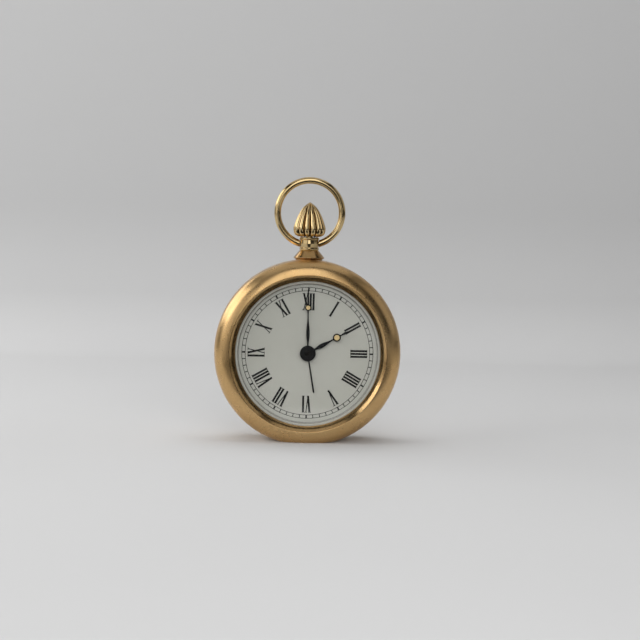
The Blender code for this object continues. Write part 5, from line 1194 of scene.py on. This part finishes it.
def dress_nodes():
    """Every node gets its finish; what NODE_LOOKS doesn't name is steel or replaced."""
    named = {node: look for look, nodes in NODE_LOOKS.items() for node in nodes}
    for name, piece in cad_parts.items():
        piece.data.materials.clear()
        piece.data.materials.append(LOOKS[named.get(name, "steel")])


def make_camera():
    """The photograph's view: at the dial's centre, then shifted to that centre's pixel."""
    centre = Vector((0.0, DIAL_FRONT, CENTRE_HEIGHT))
    elevation = math.radians(CAMERA_ELEVATION)
    x, y = polar(math.cos(elevation), CAMERA_AZIMUTH)
    direction = Vector((x, -y, math.sin(elevation)))
    eye = centre + CAMERA_DISTANCE * direction
    focal = PHOTO_SIZE / 2 / math.tan(math.radians(FIELD_OF_VIEW / 2))
    right = (-direction).cross(Vector((0.0, 0.0, 1.0))).normalized()
    up = right.cross(-direction)
    sine, cosine = polar(1.0, CAMERA_ROLL)
    right, up = right * cosine + up * sine, up * cosine - right * sine
    aside = (PHOTO_SIZE / 2 - DIAL_PIXEL[0]) / focal
    above = (DIAL_PIXEL[1] - PHOTO_SIZE / 2) / focal
    ahead = (-direction + right * aside + up * above).normalized()
    right = ahead.cross(up).normalized()
    up = right.cross(ahead)
    camera = bpy.data.cameras.new("camera")
    camera.angle = math.radians(FIELD_OF_VIEW)
    camera.sensor_fit = "HORIZONTAL"
    camera.clip_start = CLIP_START
    made = add_object("camera", camera)
    turned = Matrix((right, up, -ahead)).transposed().to_4x4()
    made.matrix_world = Matrix.Translation(eye) @ turned
    bpy.context.scene.camera = made


def add_stage(name, columns, in_reflections=True):
    """A sheet between two or more columns of points."""
    bm = bmesh.new()
    grid = [[bm.verts.new(point) for point in column] for column in columns]
    for one, two in zip(grid, grid[1:]):
        for k in range(len(one) - 1):
            bm.faces.new((one[k], two[k], two[k + 1], one[k + 1]))
    mesh = mesh_of(bm, name)
    mesh.shade_smooth()
    mesh.materials.append(LOOKS["stage"])
    made = add_object(name, mesh, in_reflections)


def make_stage():
    """The cloth behind and in front; reflections see a dark room through the gap in front."""
    rise = [(FRONT_EDGE, 0.0), (WALL_PLACE - COVE_RADIUS, 0.0)]
    for i in range(1, COVE_STEPS + 1):
        back, down = polar(COVE_RADIUS, 90.0 * i / COVE_STEPS)
        rise.append((WALL_PLACE - COVE_RADIUS + back, COVE_RADIUS - down))
    rise.append((WALL_PLACE, WALL_HEIGHT))
    places = (-FLOOR_HALF, *GAP, FLOOR_HALF)
    add_stage("stage_cloth", [[(x, y, z) for y, z in rise] for x in places])
    front = [[(x, FRONT_END, 0.0), (x, FRONT_EDGE, 0.0)] for x in places]
    add_stage("stage_left", front[:2])
    add_stage("stage_front", front[1:3], False)
    add_stage("stage_right", front[2:])


def make_lamps():
    target = Vector((0.0, 0.0, AIM_HEIGHT))
    for name, place, width, height, watts, in_reflections in LAMPS:
        lamp = bpy.data.lights.new(name, "AREA")
        lamp.shape = "RECTANGLE"
        lamp.size = width
        lamp.size_y = height
        lamp.energy = watts
        made = add_object(name, lamp, in_reflections)
        made.location = place
        made.rotation_euler = (target - Vector(place)).to_track_quat("-Z", "Y").to_euler()
    world = bpy.data.worlds.new("studio")
    world.use_nodes = True
    background = world.node_tree.nodes["Background"]
    background.inputs["Color"].default_value = (*WORLD_COLOUR, 1.0)
    bpy.context.scene.world = world


make_camera()
make_stage()
make_lamps()
dress_nodes()
make_case()
make_crystal()
make_rehaut()
make_dial()
make_print()
for hand in HANDS:
    make_hand(**hand)
make_hand_nut()
make_pendant()
make_finial()
make_bow()
make_cover()
make_cover_screws()
make_winding_key("time_key", "time_winding")
make_winding_key("alarm_key", "alarm_winding")
make_knob("hand_set_knob", "minute_works")
make_knob("alarm_set_knob", "alarm_setting")
make_stop_button()

bpy.context.scene.view_settings.view_transform = "Standard"
bpy.context.view_layer.update()
